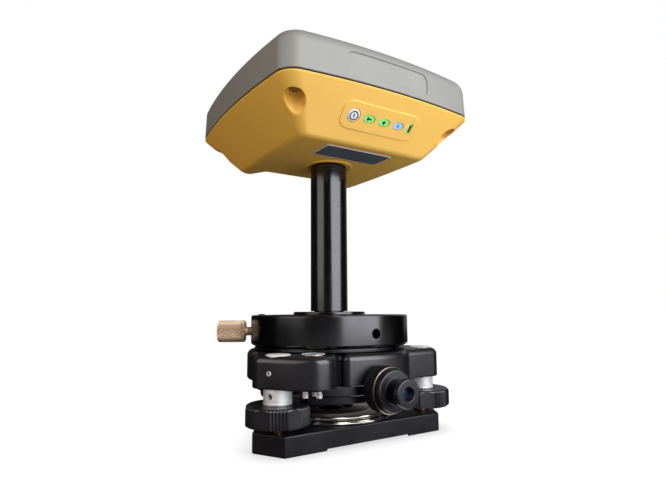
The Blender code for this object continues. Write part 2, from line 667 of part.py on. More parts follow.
def tribrach_housing():
    """Lobed casting that carries the bushes, the level, the plummet and the locking plate."""
    block = prism(housing_outline(), HOUSING_BOTTOM, HOUSING_TOP)
    housing = solid("tribrach_housing", block, "black_paint")
    edge_chamfer(housing, HOUSING_EDGE, 60.0)
    below = HOUSING_BOTTOM - OVERCUT
    above = HOUSING_TOP + OVERCUT
    bored(housing, "bore", HOUSING_BORE, below, above, sides=24)
    bored(housing, "lock_room", PLATE_RING_OUTER + LOCK_ROOM, LOCK_PLATE_BOTTOM - LOCK_ROOM,
          LOCK_PLATE_TOP + LOCK_ROOM, sides=28)
    for foot, angle in FOOT_ANGLES.items():
        centre = polar(FOOT_CIRCLE, angle)
        bored(housing, "bush_" + foot, BUSH_RADIUS + SEAT_GAP, below, BUSH_TOP + SEAT_GAP, centre, 14)
        bored(housing, "spindle_" + foot, SPINDLE_RADIUS + 2 * RUN_GAP, below, above, centre, 10)
        bored(housing, "cap_" + foot, CAP_RADIUS + SEAT_GAP, HOUSING_TOP - CAP_RECESS_DEPTH, above,
              centre, 14)
        bored(housing, "pin_" + foot, PIN_RADIUS + PIN_GAP, LOCK_PLATE_BOTTOM - LOCK_ROOM / 2, above,
              polar(PIN_CIRCLE, angle), 12)
        side = radial_pivot("set_hole_" + foot, angle, SET_HOLE_HEIGHT)
        hole = rod(SET_HOLE_RADIUS, LOBE_REACH - SET_HOLE_DEPTH, LOBE_REACH + OVERCUT, 8)
        cut(housing, "set_" + foot, hole, side)
    level = polar(LEVEL_CIRCLE, LEVEL_ANGLE)
    bored(housing, "level", LEVEL_RADIUS + SEAT_GAP, HOUSING_TOP - LEVEL_DEPTH, above, level, 16)
    for number, centre in level_screw_places():
        bored(housing, "level_screw_" + str(number), LEVEL_SCREW_RADIUS + SEAT_GAP, below,
              HOUSING_TOP - LEVEL_DEPTH + OVERCUT, centre, 8)
    sight = pivot("plummet_channel", (0, 0, PLUMMET_HEIGHT), (math.pi / 2, 0, 0))
    cut(housing, "plummet", rod(BARREL_RADIUS + SEAT_GAP, 0, HOUSING_RADIUS + 2 * OVERCUT, 16), sight)
    shaft = radial_pivot("lock_shaft_hole", LOCK_ANGLE, LOCK_SHAFT_HEIGHT)
    cut(housing, "lock_shaft", rod(LOCK_SHAFT_RADIUS + RUN_GAP, PLATE_RING_OUTER, LOBE_REACH, 12), shaft)


def bottom_cover():
    """Stepped cover under the housing, scalloped round the foot knobs."""
    top = HOUSING_BOTTOM - SEAT_GAP
    seat = COVER_BOTTOM + OBJECTIVE_THICKNESS / 2
    profile = [
        (OBJECTIVE_RADIUS - SEAT_GAP, COVER_BOTTOM),
        (COVER_STEP_RADIUS, COVER_BOTTOM),
        (COVER_STEP_RADIUS, COVER_STEP),
        (COVER_RADIUS, COVER_STEP),
        (COVER_RADIUS, top),
        (OBJECTIVE_RADIUS + SEAT_GAP, top),
        (OBJECTIVE_RADIUS + SEAT_GAP, seat),
        (OBJECTIVE_RADIUS - SEAT_GAP, seat),
    ]
    cover = solid("bottom_cover", turned(profile, 32), "black_paint")
    reach = KNOB_TOP + LOWERING + COVER_KNOB_CLEARANCE
    for foot, angle in FOOT_ANGLES.items():
        bored(cover, "knob_" + foot, KNOB_RADIUS + COVER_KNOB_CLEARANCE, 0, reach,
              polar(FOOT_CIRCLE, angle), 20)
    sight = pivot("cover_channel", (0, 0, PLUMMET_HEIGHT), (math.pi / 2, 0, 0))
    cut(cover, "plummet", rod(BARREL_RADIUS + SEAT_GAP, 0, COVER_RADIUS + OVERCUT, 16), sight)
    room = PRISM_SIZE + 2 * SEAT_GAP
    cut(cover, "prism", prism(rounded_rectangle(room, room, 0), PLUMMET_HEIGHT - room / 2, HOUSING_TOP))


def level_screw_places():
    """Return the numbered places of the level's adjusting screws."""
    centre = Vector(polar(LEVEL_CIRCLE, LEVEL_ANGLE))
    places = []
    for i in range(LEVEL_SCREWS):
        spoke = Vector(polar(LEVEL_SCREW_CIRCLE, LEVEL_ANGLE + 60 + 360 * i / LEVEL_SCREWS))
        places.append((i + 1, tuple(centre + spoke)))
    return places


def circular_level():
    """Level: a cup with its vial, on three adjusting screws."""
    floor = HOUSING_TOP - LEVEL_DEPTH + SEAT_GAP
    rim = HOUSING_TOP + LEVEL_STAND
    inner = LEVEL_RADIUS - LEVEL_WALL
    place = pivot("level_place", (*polar(LEVEL_CIRCLE, LEVEL_ANGLE), 0))
    cup = [(0, floor), (LEVEL_RADIUS, floor), (LEVEL_RADIUS, rim), (inner, rim),
           (inner, floor + LEVEL_FLOOR), (0, floor + LEVEL_FLOOR)]
    solid("level_case", turned(cup, 16, closed=False), "black_paint", place)
    glass = inner - SEAT_GAP
    start = floor + LEVEL_FLOOR + SEAT_GAP
    vial = [(0, start), (glass, start), (glass, rim - LEVEL_STAND), (0.6 * glass, rim - 0.2 * LEVEL_STAND),
            (0, rim)]
    solid("level_vial", turned(vial, 16, closed=False), "level_glass", place)
    for number, centre in level_screw_places():
        screw = pivot("level_screw_place_" + str(number), (*centre, 0))
        solid("level_screw_" + str(number), rod(LEVEL_SCREW_RADIUS, LEVEL_SCREW_END, floor - SEAT_GAP, 8),
              "bright_metal", screw)


def ribbed(radius, depth, ribs):
    """Return a fine ribbed circle."""
    points = []
    for i in range(2 * ribs):
        points.append(polar(radius - depth * (i % 2), 180 * i / ribs))
    return points


def plummet():
    """Optical plummet: barrel, prism and objective, with turning focus ring and eyepiece."""
    sight = pivot("plummet_axis", (0, 0, PLUMMET_HEIGHT), (math.pi / 2, 0, 0))
    barrel = [(BARREL_BORE, BARREL_INNER_END), (BARREL_RADIUS, BARREL_INNER_END),
              (BARREL_RADIUS, FOCUS_FRONT - SEAT_GAP), (BARREL_BORE, FOCUS_FRONT - SEAT_GAP)]
    solid("plummet_barrel", turned(barrel, 16), "black_anodised", sight)
    outline = ribbed(FOCUS_RADIUS, FOCUS_RIB_DEPTH, FOCUS_RIBS)
    shrink = 1 - FOCUS_RIB_DEPTH * 2 / FOCUS_RADIUS
    levels = [(1, FOCUS_BACK), (1, FOCUS_FRONT - FOCUS_RIB_DEPTH), (shrink, FOCUS_FRONT)]
    rings = [[(x * scale, y * scale, z) for x, y in outline] for scale, z in levels]
    ring = solid("focus_ring", lofted(rings), "black_paint", sight)
    cut(ring, "bore", rod(BARREL_RADIUS + RUN_GAP, 0, EYEPIECE_FRONT, 16), sight)
    eyepiece(sight)
    half = PRISM_SIZE / 2
    front = -(BARREL_INNER_END - SEAT_GAP)
    wedge = prism([(front, PLUMMET_HEIGHT - half), (front + PRISM_SIZE, PLUMMET_HEIGHT - half),
                   (front, PLUMMET_HEIGHT + half)], -half, half)
    turn = pivot("prism_place", (0, 0, 0), (math.pi / 2, 0, math.pi / 2))
    solid("plummet_prism", wedge, "optical_glass", turn)
    seat = COVER_BOTTOM + OBJECTIVE_THICKNESS / 2 + SEAT_GAP
    lens = [(0, seat), (OBJECTIVE_RADIUS, seat), (OBJECTIVE_RADIUS, seat + OBJECTIVE_THICKNESS / 2),
            (0, seat + OBJECTIVE_THICKNESS)]
    solid("plummet_objective", turned(lens, 14, closed=False), "optical_glass")


def eyepiece(sight):
    """Eyepiece with its collar, head and lens; its spigot turns in the barrel."""
    collar = FOCUS_FRONT + RUN_GAP
    waist = collar + EYEPIECE_COLLAR_LENGTH
    head = EYEPIECE_FRONT - EYEPIECE_HEAD
    spigot = BARREL_BORE - RUN_GAP
    lens_seat = EYEPIECE_FRONT - EYE_LENS_DEPTH - EYE_LENS_THICKNESS - SEAT_GAP
    edge = EYEPIECE_RADIUS - EYEPIECE_WAIST_RADIUS
    profile = [
        (SIGHT_BORE, collar - EYEPIECE_SPIGOT),
        (spigot, collar - EYEPIECE_SPIGOT),
        (spigot, collar),
        (EYEPIECE_COLLAR_RADIUS - edge, collar),
        (EYEPIECE_COLLAR_RADIUS, collar + edge),
        (EYEPIECE_COLLAR_RADIUS, waist - edge),
        (EYEPIECE_COLLAR_RADIUS - edge, waist),
        (EYEPIECE_WAIST_RADIUS, waist),
        (EYEPIECE_WAIST_RADIUS, head),
        (EYEPIECE_RADIUS, head + edge),
        (EYEPIECE_RADIUS, EYEPIECE_FRONT - edge),
        (EYEPIECE_RADIUS - edge, EYEPIECE_FRONT),
        (EYEPIECE_BORE, EYEPIECE_FRONT),
        (EYEPIECE_BORE, lens_seat),
        (SIGHT_BORE, lens_seat),
    ]
    solid("eyepiece", turned(profile, 16), "black_anodised", sight)
    glass = EYEPIECE_BORE - SEAT_GAP
    back = lens_seat + SEAT_GAP
    lens = [(0, back), (glass, back), (glass, back + EYE_LENS_THICKNESS / 2),
            (0, back + EYE_LENS_THICKNESS)]
    solid("eyepiece_lens", turned(lens, 12, closed=False), "optical_glass", sight)


def lock_travel():
    """Return half the turn of the locking plate, in degrees, from the knob's throw."""
    swing = LOCK_THROW * math.sin(math.radians(LOCK_TURN / 2))
    return math.degrees(swing / LOCK_PIN_CIRCLE)


def locking_plate():
    """Ring round the adapter's pins, turned a few degrees by the lock knob's crank pin."""
    profile = [(PLATE_RING_INNER, LOCK_PLATE_BOTTOM), (PLATE_RING_OUTER, LOCK_PLATE_BOTTOM),
               (PLATE_RING_OUTER, LOCK_PLATE_TOP), (PLATE_RING_INNER, LOCK_PLATE_TOP)]
    axis = pivot("locking_plate_axis", (0, 0, 0))
    plate = solid("locking_plate", turned(profile, 28), "steel", axis)
    width = 2 * (PIN_RADIUS + PIN_GAP)
    length = width + 2 * math.radians(lock_travel()) * PIN_CIRCLE
    below = LOCK_PLATE_BOTTOM - OVERCUT
    above = LOCK_PLATE_TOP + OVERCUT
    for foot, angle in FOOT_ANGLES.items():
        slot = pivot("pin_slot_" + foot, (0, 0, 0), (0, 0, math.radians(angle + lock_travel())))
        outline = rounded_rectangle(width, length, 0.9 * width / 2, (PIN_CIRCLE, 0))
        cut(plate, "slot_" + foot, prism(outline, below, above), slot)
    crank = pivot("crank_slot", (0, 0, 0), (0, 0, math.radians(LOCK_ANGLE + lock_travel())))
    deep = LOCK_PIN_START - LOCK_SLOT_GAP
    middle = (deep + PLATE_RING_OUTER + OVERCUT) / 2
    outline = rounded_rectangle(PLATE_RING_OUTER + OVERCUT - deep, 2 * (LOCK_PIN_RADIUS + LOCK_SLOT_GAP), 0,
                                (middle, 0))
    cut(plate, "crank", prism(outline, below, above), crank)


def lock_knob():
    """Winged knob on a radial shaft with a crank pin at its inner end."""
    axis = radial_pivot("lock_knob_axis", LOCK_ANGLE, LOCK_SHAFT_HEIGHT)
    shaft = PLATE_RING_OUTER + LOCK_ROOM + RUN_GAP
    seat = HOUSING_RADIUS + SEAT_GAP
    top = seat + LOCK_KNOB_BASE
    round_edge = LOCK_KNOB_BASE / 4
    profile = [(0, shaft), (LOCK_SHAFT_RADIUS, shaft), (LOCK_SHAFT_RADIUS, seat), (LOCK_KNOB_RADIUS, seat),
               (LOCK_KNOB_RADIUS, top - round_edge), (LOCK_KNOB_RADIUS - round_edge, top), (0, top)]
    knob = solid("lock_knob", turned(profile, 16, closed=False), "black_paint", axis)
    wing = rounded_rectangle(2 * LOCK_KNOB_RADIUS - LOCK_KNOB_BASE, LOCK_GRIP_WIDTH, 0.45 * LOCK_GRIP_WIDTH)
    join(knob, "wing", prism(wing, top - LOCK_KNOB_BASE / 2, top + LOCK_GRIP_LENGTH), axis)
    rest = math.radians(LOCK_TURN / 2)
    crank = (-LOCK_THROW * math.cos(rest), LOCK_THROW * math.sin(rest))
    pin = prism(circle(LOCK_PIN_RADIUS, 8, crank), LOCK_PIN_START, shaft + OVERCUT)
    join(knob, "crank", pin, axis)


def adapter_base():
    """Plate and post of the rotating adapter; its pins stand in the housing."""
    bottom = HOUSING_TOP + SEAT_GAP
    top = bottom + ADAPTER_BASE_THICKNESS
    edge = ADAPTER_BASE_THICKNESS / 4
    profile = [
        (SPINDLE_POST_BORE, bottom),
        (ADAPTER_BASE_RADIUS - edge, bottom),
        (ADAPTER_BASE_RADIUS, bottom + edge),
        (ADAPTER_BASE_RADIUS, top),
        (SPINDLE_POST_RADIUS, top),
        (SPINDLE_POST_RADIUS, SPINDLE_POST_TOP),
        (SPINDLE_POST_BORE, SPINDLE_POST_TOP),
    ]
    plate = solid("adapter_base", turned(profile, 28), "black_anodised")
    for foot, angle in FOOT_ANGLES.items():
        pin = prism(circle(PIN_RADIUS, 10, polar(PIN_CIRCLE, angle)), LOCK_PLATE_BOTTOM, bottom + edge)
        join(plate, "pin_" + foot, pin)


def adapter_disc():
    """Turned disc on its bearing bush, with the stud, the side hole and the brass clamp screw."""
    axis = pivot("adapter_axis", (0, 0, 0))
    bush_inner = SPINDLE_POST_RADIUS + RUN_GAP
    bush_outer = bush_inner + BEARING_WALL
    bush_top = SPINDLE_POST_TOP
    bush = [(bush_inner, DISC_BOTTOM), (bush_outer, DISC_BOTTOM), (bush_outer, bush_top),
            (bush_inner, bush_top)]
    solid("bearing_bush", turned(bush, 16), "bronze", axis)
    room = bush_outer + SEAT_GAP
    ceiling = bush_top + SEAT_GAP
    thread = STUD_RADIUS + SEAT_GAP
    profile = [
        (room, DISC_BOTTOM),
        (DISC_RADIUS - DISC_LOWER_CHAMFER, DISC_BOTTOM),
        (DISC_RADIUS, DISC_BOTTOM + DISC_LOWER_CHAMFER),
        (DISC_RADIUS, DISC_TOP - DISC_UPPER_CHAMFER),
        (DISC_RADIUS - DISC_UPPER_CHAMFER, DISC_TOP),
        (thread, DISC_TOP),
        (thread, ceiling),
        (room, ceiling),
    ]
    disc = solid("adapter_body", turned(profile, 44), "black_anodised", axis)
    side = pivot("side_hole", (0, 0, SIDE_HOLE_HEIGHT), (math.pi / 2, 0, 0))
    floor = DISC_RADIUS - SIDE_HOLE_DEPTH
    cut(disc, "side_hole", rod(SIDE_HOLE_RADIUS, floor, DISC_RADIUS + OVERCUT, 12), side)
    grub = rod(SIDE_HOLE_RADIUS - SEAT_GAP, floor + SEAT_GAP, floor + SEAT_GAP + GRUB_LENGTH, 8)
    solid("grub_screw", grub, "steel", side)
    clamp = radial_pivot("clamp_screw_axis", CLAMP_ANGLE, CLAMP_HEIGHT)
    hole = rod(CLAMP_STEM_RADIUS + RUN_GAP, CLAMP_STEM_END - RUN_GAP, DISC_RADIUS + OVERCUT, 12)
    cut(disc, "clamp", hole, clamp)
    profile = [
        (0, CLAMP_STEM_END),
        (CLAMP_STEM_RADIUS, CLAMP_STEM_END),
        (CLAMP_STEM_RADIUS, CLAMP_KNOB_START),
        (CLAMP_KNOB_RADIUS - CLAMP_CHAMFER, CLAMP_KNOB_START),
        (CLAMP_KNOB_RADIUS, CLAMP_KNOB_START + CLAMP_CHAMFER),
        (CLAMP_KNOB_RADIUS, CLAMP_KNOB_END - CLAMP_CHAMFER),
        (CLAMP_KNOB_RADIUS - CLAMP_CHAMFER, CLAMP_KNOB_END),
        (0, CLAMP_KNOB_END),
    ]
    solid("clamp_screw", turned(profile, 18, closed=False), "brass", clamp)
    stud = [(0, ceiling), (STUD_RADIUS, ceiling), (STUD_RADIUS, ADAPTER_STUD_TOP), (0, ADAPTER_STUD_TOP)]
    solid("adapter_stud", turned(stud, 14, closed=False), "steel", axis)


def pole():
    """Flanged foot, tube, and the stud that the receiver screws onto."""
    foot = DISC_TOP + SEAT_GAP
    flange = POLE_BOTTOM - SEAT_GAP
    bore = POLE_RADIUS - POLE_WALL
    spigot = bore - SEAT_GAP
    thread = STUD_RADIUS + SEAT_GAP
    edge = FLANGE_THICKNESS / 3
    profile = [
        (thread, foot),
        (FLANGE_RADIUS, foot),
        (FLANGE_RADIUS, flange - edge),
        (FLANGE_RADIUS - edge, flange),
        (spigot, flange),
        (spigot, flange + SPIGOT_HEIGHT),
        (thread, flange + SPIGOT_HEIGHT),
    ]
    axis = pivot("pole_axis", (0, 0, 0))
    solid("pole_base_flange", turned(profile, 24), "black_anodised", axis)
    top = POLE_TOP
    tube = [(bore, POLE_BOTTOM), (POLE_RADIUS, POLE_BOTTOM), (POLE_RADIUS, top), (bore, top)]
    solid("pole_tube", turned(tube, 24), "black_anodised", axis)
    stud = [
        (0, top - STUD_PLUG_LENGTH),
        (spigot, top - STUD_PLUG_LENGTH),
        (spigot, top),
        (STUD_RADIUS, top),
        (STUD_RADIUS, top + RECEIVER_STUD_LENGTH),
        (0, top + RECEIVER_STUD_LENGTH),
    ]
    solid("receiver_stud", turned(stud, 14, closed=False), "steel", axis)


def receiver_plan(half, bow, corner, height, side_steps=4, corner_steps=3):
    """Return a ring of the receiver's plan: bowed sides and round corners."""
    chord = half - bow
    straight = chord - corner
    lean = math.atan(2 * bow / straight)
    quarter = []
    for i in range(side_steps + 1):
        s = 2 * i / side_steps - 1
        quarter.append((s * straight, -(chord + bow * (1 - s * s))))
    for i in range(corner_steps + 1):
        a = -math.pi / 2 + lean + (math.pi / 2 - 2 * lean) * i / corner_steps
        quarter.append((straight + corner * math.cos(a), -straight + corner * math.sin(a)))
    ring = []
    for turn in range(4):
        c, s = math.cos(turn * math.pi / 2), math.sin(turn * math.pi / 2)
        ring += [(x * c - y * s, x * s + y * c, height) for x, y in quarter]
    return ring


def lower_rim():
    """Return the height of the yellow housing's upper rim."""
    return PARTING_HEIGHT - SEAL_THICKNESS / 2 - SEAM_GAP


def slope_share(height):
    """Return 0 at the receiver's underside and 1 where its sloped sides end."""
    rim = lower_rim() - RIM_HEIGHT
    return (height - RECEIVER_UNDERSIDE) / (rim - RECEIVER_UNDERSIDE)


def lower_ring(height, inset=0.0):
    """Return a ring of the yellow housing's sloped sides, moved inwards by an inset."""
    share = min(slope_share(height), 1.0)
    half = UNDERSIDE_HALF + (RECEIVER_HALF - UNDERSIDE_HALF) * share - inset
    bow = UNDERSIDE_BOW + (RECEIVER_BOW - UNDERSIDE_BOW) * share
    corner = UNDERSIDE_CORNER + (RECEIVER_CORNER - UNDERSIDE_CORNER) * share - inset * share / 2
    return receiver_plan(half, bow, corner, height)


def upper_ring(half, height):
    """Return a ring of the grey cover, its bow and corners following its width."""
    share = half / RECEIVER_HALF
    return receiver_plan(half, RECEIVER_BOW * share, RECEIVER_CORNER * share, height)


def screw_places():
    """Return the numbered places of the corner screws."""
    signs = ((-1, -1), (1, -1), (1, 1), (-1, 1))
    return [(i + 1, (x * SCREW_OFFSET, y * SCREW_OFFSET)) for i, (x, y) in enumerate(signs)]


def bay_wedge(wall):
    """Return the wedge of the port bay, grown by a wall."""
    run = Vector((BAY_DEPTH_END - BAY_EDGE, BAY_TOP - RECEIVER_UNDERSIDE)).normalized()
    inward = Vector((-run.y, run.x)) * wall
    low = Vector((BAY_EDGE, RECEIVER_UNDERSIDE)) + inward - run * 2 * OVERCUT
    high = Vector((BAY_DEPTH_END, BAY_TOP)) + inward + run * wall
    far = 2 * RECEIVER_HALF
    profile = [(low.x, low.y), (far, low.y), (far, high.y), (high.x, high.y)]
    half = BAY_HALF_WIDTH + wall
    return lofted([[(x, y, z) for y, z in profile] for x in (-half, half)])


def bay_angle():
    """Return the tilt of the port panel's outward normal, as a turn about X."""
    run, rise = BAY_DEPTH_END - BAY_EDGE, BAY_TOP - RECEIVER_UNDERSIDE
    return math.atan2(-rise, -run)


def panel_pivot(name):
    """Add an empty on the sloped front with local Z outwards and local Y up the slope."""
    share = slope_share(PANEL_HEIGHT)
    front = UNDERSIDE_HALF + (RECEIVER_HALF - UNDERSIDE_HALF) * share
    rise = (PANEL_HEIGHT - RECEIVER_UNDERSIDE) / share
    tilt = math.atan2(rise, UNDERSIDE_HALF - RECEIVER_HALF)
    return pivot(name, (0, -front, PANEL_HEIGHT), (tilt, 0, 0))


def lower_cavity():
    """Hollow of the yellow housing: leaves walls, screw towers, posts and the mount boss."""
    slant = SHELL_WALL * math.sqrt(2)
    floor = RECEIVER_UNDERSIDE + SHELL_WALL
    rim = PARTING_HEIGHT + OVERCUT
    heights = (floor, floor + SHELL_WALL, PARTING_HEIGHT - 2 * SHELL_WALL)
    rings = [lower_ring(z, slant + SHELL_WALL / 2 * (z == floor)) for z in heights]
    corner = RECEIVER_CORNER - SHELL_WALL / 2
    rings.append(receiver_plan(RECEIVER_HALF - SHELL_WALL, RECEIVER_BOW, corner, rim))
    cavity = solid("lower_cavity", lofted(rings))
    below = RECEIVER_UNDERSIDE
    above = rim + OVERCUT
    for number, centre in screw_places():
        bored(cavity, "tower_" + str(number), SCALLOP_RADIUS + SCALLOP_WALL, below, above, centre, 12)
    for x in (-POST_OFFSET, POST_OFFSET):
        for y in (-POST_OFFSET, BAY_EDGE - POST_RADIUS):
            bored(cavity, "post", POST_RADIUS, below, above, (x, y), 8)
    boss = MOUNT_INSERT_RADIUS + SEAT_GAP + MOUNT_BOSS_WALL
    bored(cavity, "boss", boss, below, RECEIVER_UNDERSIDE + MOUNT_INSERT_LENGTH + MOUNT_BOSS_WALL, sides=16)
    cut(cavity, "bay", bay_wedge(SHELL_WALL))
    return cavity


def bottom_housing():
    """Yellow moulded housing: sloped bowed sides, scalloped corners, raised panel and port bay."""
    rim = lower_rim()
    edge = RECEIVER_UNDERSIDE + UNDERSIDE_EDGE
    rings = [
        lower_ring(RECEIVER_UNDERSIDE, 0.9 * UNDERSIDE_EDGE),
        lower_ring(RECEIVER_UNDERSIDE + 0.28 * UNDERSIDE_EDGE, 0.36 * UNDERSIDE_EDGE),
        lower_ring(edge),
        lower_ring(rim - RIM_HEIGHT),
        receiver_plan(RECEIVER_HALF, RECEIVER_BOW, RECEIVER_CORNER, rim),
    ]
    housing = solid("bottom_housing", lofted(rings), "yellow_plastic")
    combine(housing, lower_cavity())
    below = RECEIVER_UNDERSIDE - OVERCUT
    for number, centre in screw_places():
        bored(housing, "scallop_" + str(number), SCALLOP_RADIUS, below, SCALLOP_CEILING, centre, 16)
        bored(housing, "screw_" + str(number), SCREW_SHANK_RADIUS + SEAT_GAP, below, PARTING_HEIGHT,
              centre, 8)
    bored(housing, "insert", MOUNT_INSERT_RADIUS + SEAT_GAP, below,
          RECEIVER_UNDERSIDE + MOUNT_INSERT_LENGTH, sides=16)
    cut(housing, "bay", bay_wedge(0.0))
    port = pivot("port_hole", (0, PORT_DISTANCE, port_height()), (bay_angle(), 0, 0))
    cut(housing, "port", rod(PORT_RADIUS + SEAT_GAP, -3 * SHELL_WALL, OVERCUT, 16), port)
    panel = panel_pivot("panel_cutters")
    pad = rounded_rectangle(PANEL_WIDTH, PANEL_DEPTH, PANEL_CORNER)
    join(housing, "panel", prism(pad, -0.6 * SHELL_WALL, PANEL_STEP), panel)
    deep = -3 * SHELL_WALL
    hole = circle(BUTTON_RADIUS + RUN_GAP, 16, (BUTTON_OFFSET, 0))
    cut(housing, "button", prism(hole, deep, OVERCUT), panel)
    for name, outline in window_outlines(SEAT_GAP):
        cut(housing, name, prism(outline, deep, OVERCUT), panel)


def window_outlines(grow):
    """Return the named outlines of the panel's lenses, grown by a clearance."""
    outlines = []
    for name, offset in LENS_OFFSETS.items():
        width, depth = LENS_WIDTH + 2 * grow, LENS_DEPTH + 2 * grow
        outlines.append((name, rounded_rectangle(width, depth, 0.45 * depth, (offset, 0), 1)))
    width, depth = BATTERY_WINDOW_WIDTH + 2 * grow, BATTERY_WINDOW_DEPTH + 2 * grow
    bar = rounded_rectangle(width, depth, WINDOW_CORNER, (BATTERY_WINDOW_OFFSET, 0))
    outlines.append(("battery_window", bar))
    return outlines


def front_panel():
    """Power button and indicator lenses in the raised panel."""
    panel = panel_pivot("panel_frame")
    top = PANEL_STEP + BUTTON_STAND
    edge = BUTTON_EDGE
    profile = [(0, top - BUTTON_LENGTH), (BUTTON_RADIUS, top - BUTTON_LENGTH), (BUTTON_RADIUS, top - edge),
               (BUTTON_RADIUS - edge, top), (0, top)]
    button = panel_pivot("power_button_axis")
    shift = pivot("power_button_place", (BUTTON_OFFSET, 0, 0))
    shift.parent = button
    solid("power_button", turned(profile, 16, closed=False), "button_plastic", shift)
    colours = {"lens_right": "blue_lens"}
    for name, outline in window_outlines(0.0):
        face = PANEL_STEP - LENS_SINK
        solid(name, prism(outline, face - LENS_THICKNESS, face), colours.get(name, "green_lens"), panel)


def port_height():
    """Return the height of the port's centre on the bay panel."""
    share = (PORT_DISTANCE - BAY_EDGE) / (BAY_DEPTH_END - BAY_EDGE)
    return RECEIVER_UNDERSIDE + share * (BAY_TOP - RECEIVER_UNDERSIDE)


def port():
    """Round socket in the bay panel and its hinged rubber cap."""
    frame = pivot("port_frame", (0, PORT_DISTANCE, port_height()), (bay_angle(), 0, 0))
    plug = PORT_CAP_PLUG
    wall = plug + RUN_GAP
    profile = [(0, -PORT_LENGTH), (PORT_RADIUS, -PORT_LENGTH), (PORT_RADIUS, 0), (wall, 0),
               (wall, -PORT_LENGTH / 2), (0, -PORT_LENGTH / 2)]
    solid("port_socket", turned(profile, 16, closed=False), "seal_rubber", frame)
    hinge = pivot("port_cap_axis", (0, -PORT_HINGE_OFFSET, SEAT_GAP))
    hinge.parent = frame
    tab = [((-PORT_CAP_PLUG, 0), 0), ((PORT_CAP_PLUG, 0), 0),
           ((PORT_CAP_PLUG, PORT_HINGE_OFFSET), 0), ((-PORT_CAP_PLUG, PORT_HINGE_OFFSET), 0)]
    lid = prism(circle(PORT_CAP_RADIUS, 18, (0, PORT_HINGE_OFFSET)), 0, PORT_CAP_THICKNESS)
    cap = solid("port_cap", lid, "seal_rubber", hinge)
    join(cap, "tab", prism([point for point, _ in tab], 0, PORT_CAP_THICKNESS * 0.6), hinge)


def parting_seal():
    """Thin seal between the two covers."""
    rings = []
    for inset in (SEAL_INSET, SHELL_WALL - SEAL_INSET):
        for z in (PARTING_HEIGHT - SEAL_THICKNESS / 2, PARTING_HEIGHT + SEAL_THICKNESS / 2):
            corner = RECEIVER_CORNER - inset / 2
            rings.append(receiver_plan(RECEIVER_HALF - inset, RECEIVER_BOW, corner, z))
    outer = solid("parting_seal", lofted(rings[:2]), "seal_rubber")
    lifts = (-OVERCUT, OVERCUT)
    inner = [[(x, y, z + lift) for x, y, z in ring] for ring, lift in zip(rings[2:], lifts)]
    cut(outer, "inside", lofted(inner))


def top_cover():
    """Grey domed cover with drafted walls, round shoulders and screw bosses inside."""
    rim = PARTING_HEIGHT + SEAL_THICKNESS / 2 + SEAM_GAP
    wall_top = rim + COVER_WALL_HEIGHT
    wall_half = RECEIVER_HALF - COVER_DRAFT

    def cover_rings(wall, start, turns, shares):
        shoulder = COVER_SHOULDER
        rings = [upper_ring(RECEIVER_HALF - wall, start), upper_ring(wall_half - wall, wall_top - wall / 4)]
        for turn in turns:
            a = math.radians(turn)
            rings.append(upper_ring(wall_half - wall - shoulder * (1 - math.cos(a)),
                                    wall_top + shoulder * math.sin(a) - wall * math.sin(a)))
        edge_half = wall_half - shoulder
        edge_top = wall_top + shoulder
        for share in shares:
            rise = (RECEIVER_TOP - edge_top) * (1 - share * share)
            rings.append(upper_ring((edge_half - wall) * share, edge_top + rise - wall))
        return rings

    outer = cover_rings(0.0, rim, (32, 58, 80), (0.72, 0.45, 0.18))
    cover = solid("top_cover", lofted(outer), "grey_plastic")
    cavity = solid("upper_cavity", lofted(cover_rings(SHELL_WALL, rim - OVERCUT, (58,), (0.72, 0.3))))
    for number, centre in screw_places():
        bored(cavity, "boss_" + str(number), COVER_BOSS_RADIUS, PARTING_HEIGHT - 2 * OVERCUT,
              RECEIVER_TOP, centre, 10)
    combine(cover, cavity)
    hole = SCREW_SHANK_RADIUS + SEAT_GAP
    screw_end = SCALLOP_CEILING - SEAT_GAP + SCREW_SHANK_LENGTH
    for number, centre in screw_places():
        bored(cover, "screw_" + str(number), hole, PARTING_HEIGHT - OVERCUT, screw_end + SEAT_GAP,
              centre, 8)


def housing_screws():
    """Four screws that hold the two covers together from below."""
    ceiling = SCALLOP_CEILING - SEAT_GAP
    profile = [
        (0, ceiling - SCREW_HEAD_HEIGHT),
        (SCREW_HEAD_RADIUS, ceiling - SCREW_HEAD_HEIGHT),
        (SCREW_HEAD_RADIUS, ceiling),
        (SCREW_SHANK_RADIUS, ceiling),
        (SCREW_SHANK_RADIUS, ceiling + SCREW_SHANK_LENGTH),
        (0, ceiling + SCREW_SHANK_LENGTH),
    ]
    for number, centre in screw_places():
        place = pivot("housing_screw_place_" + str(number), (*centre, 0))
        solid("housing_screw_" + str(number), turned(profile, 8, closed=False), "steel", place)


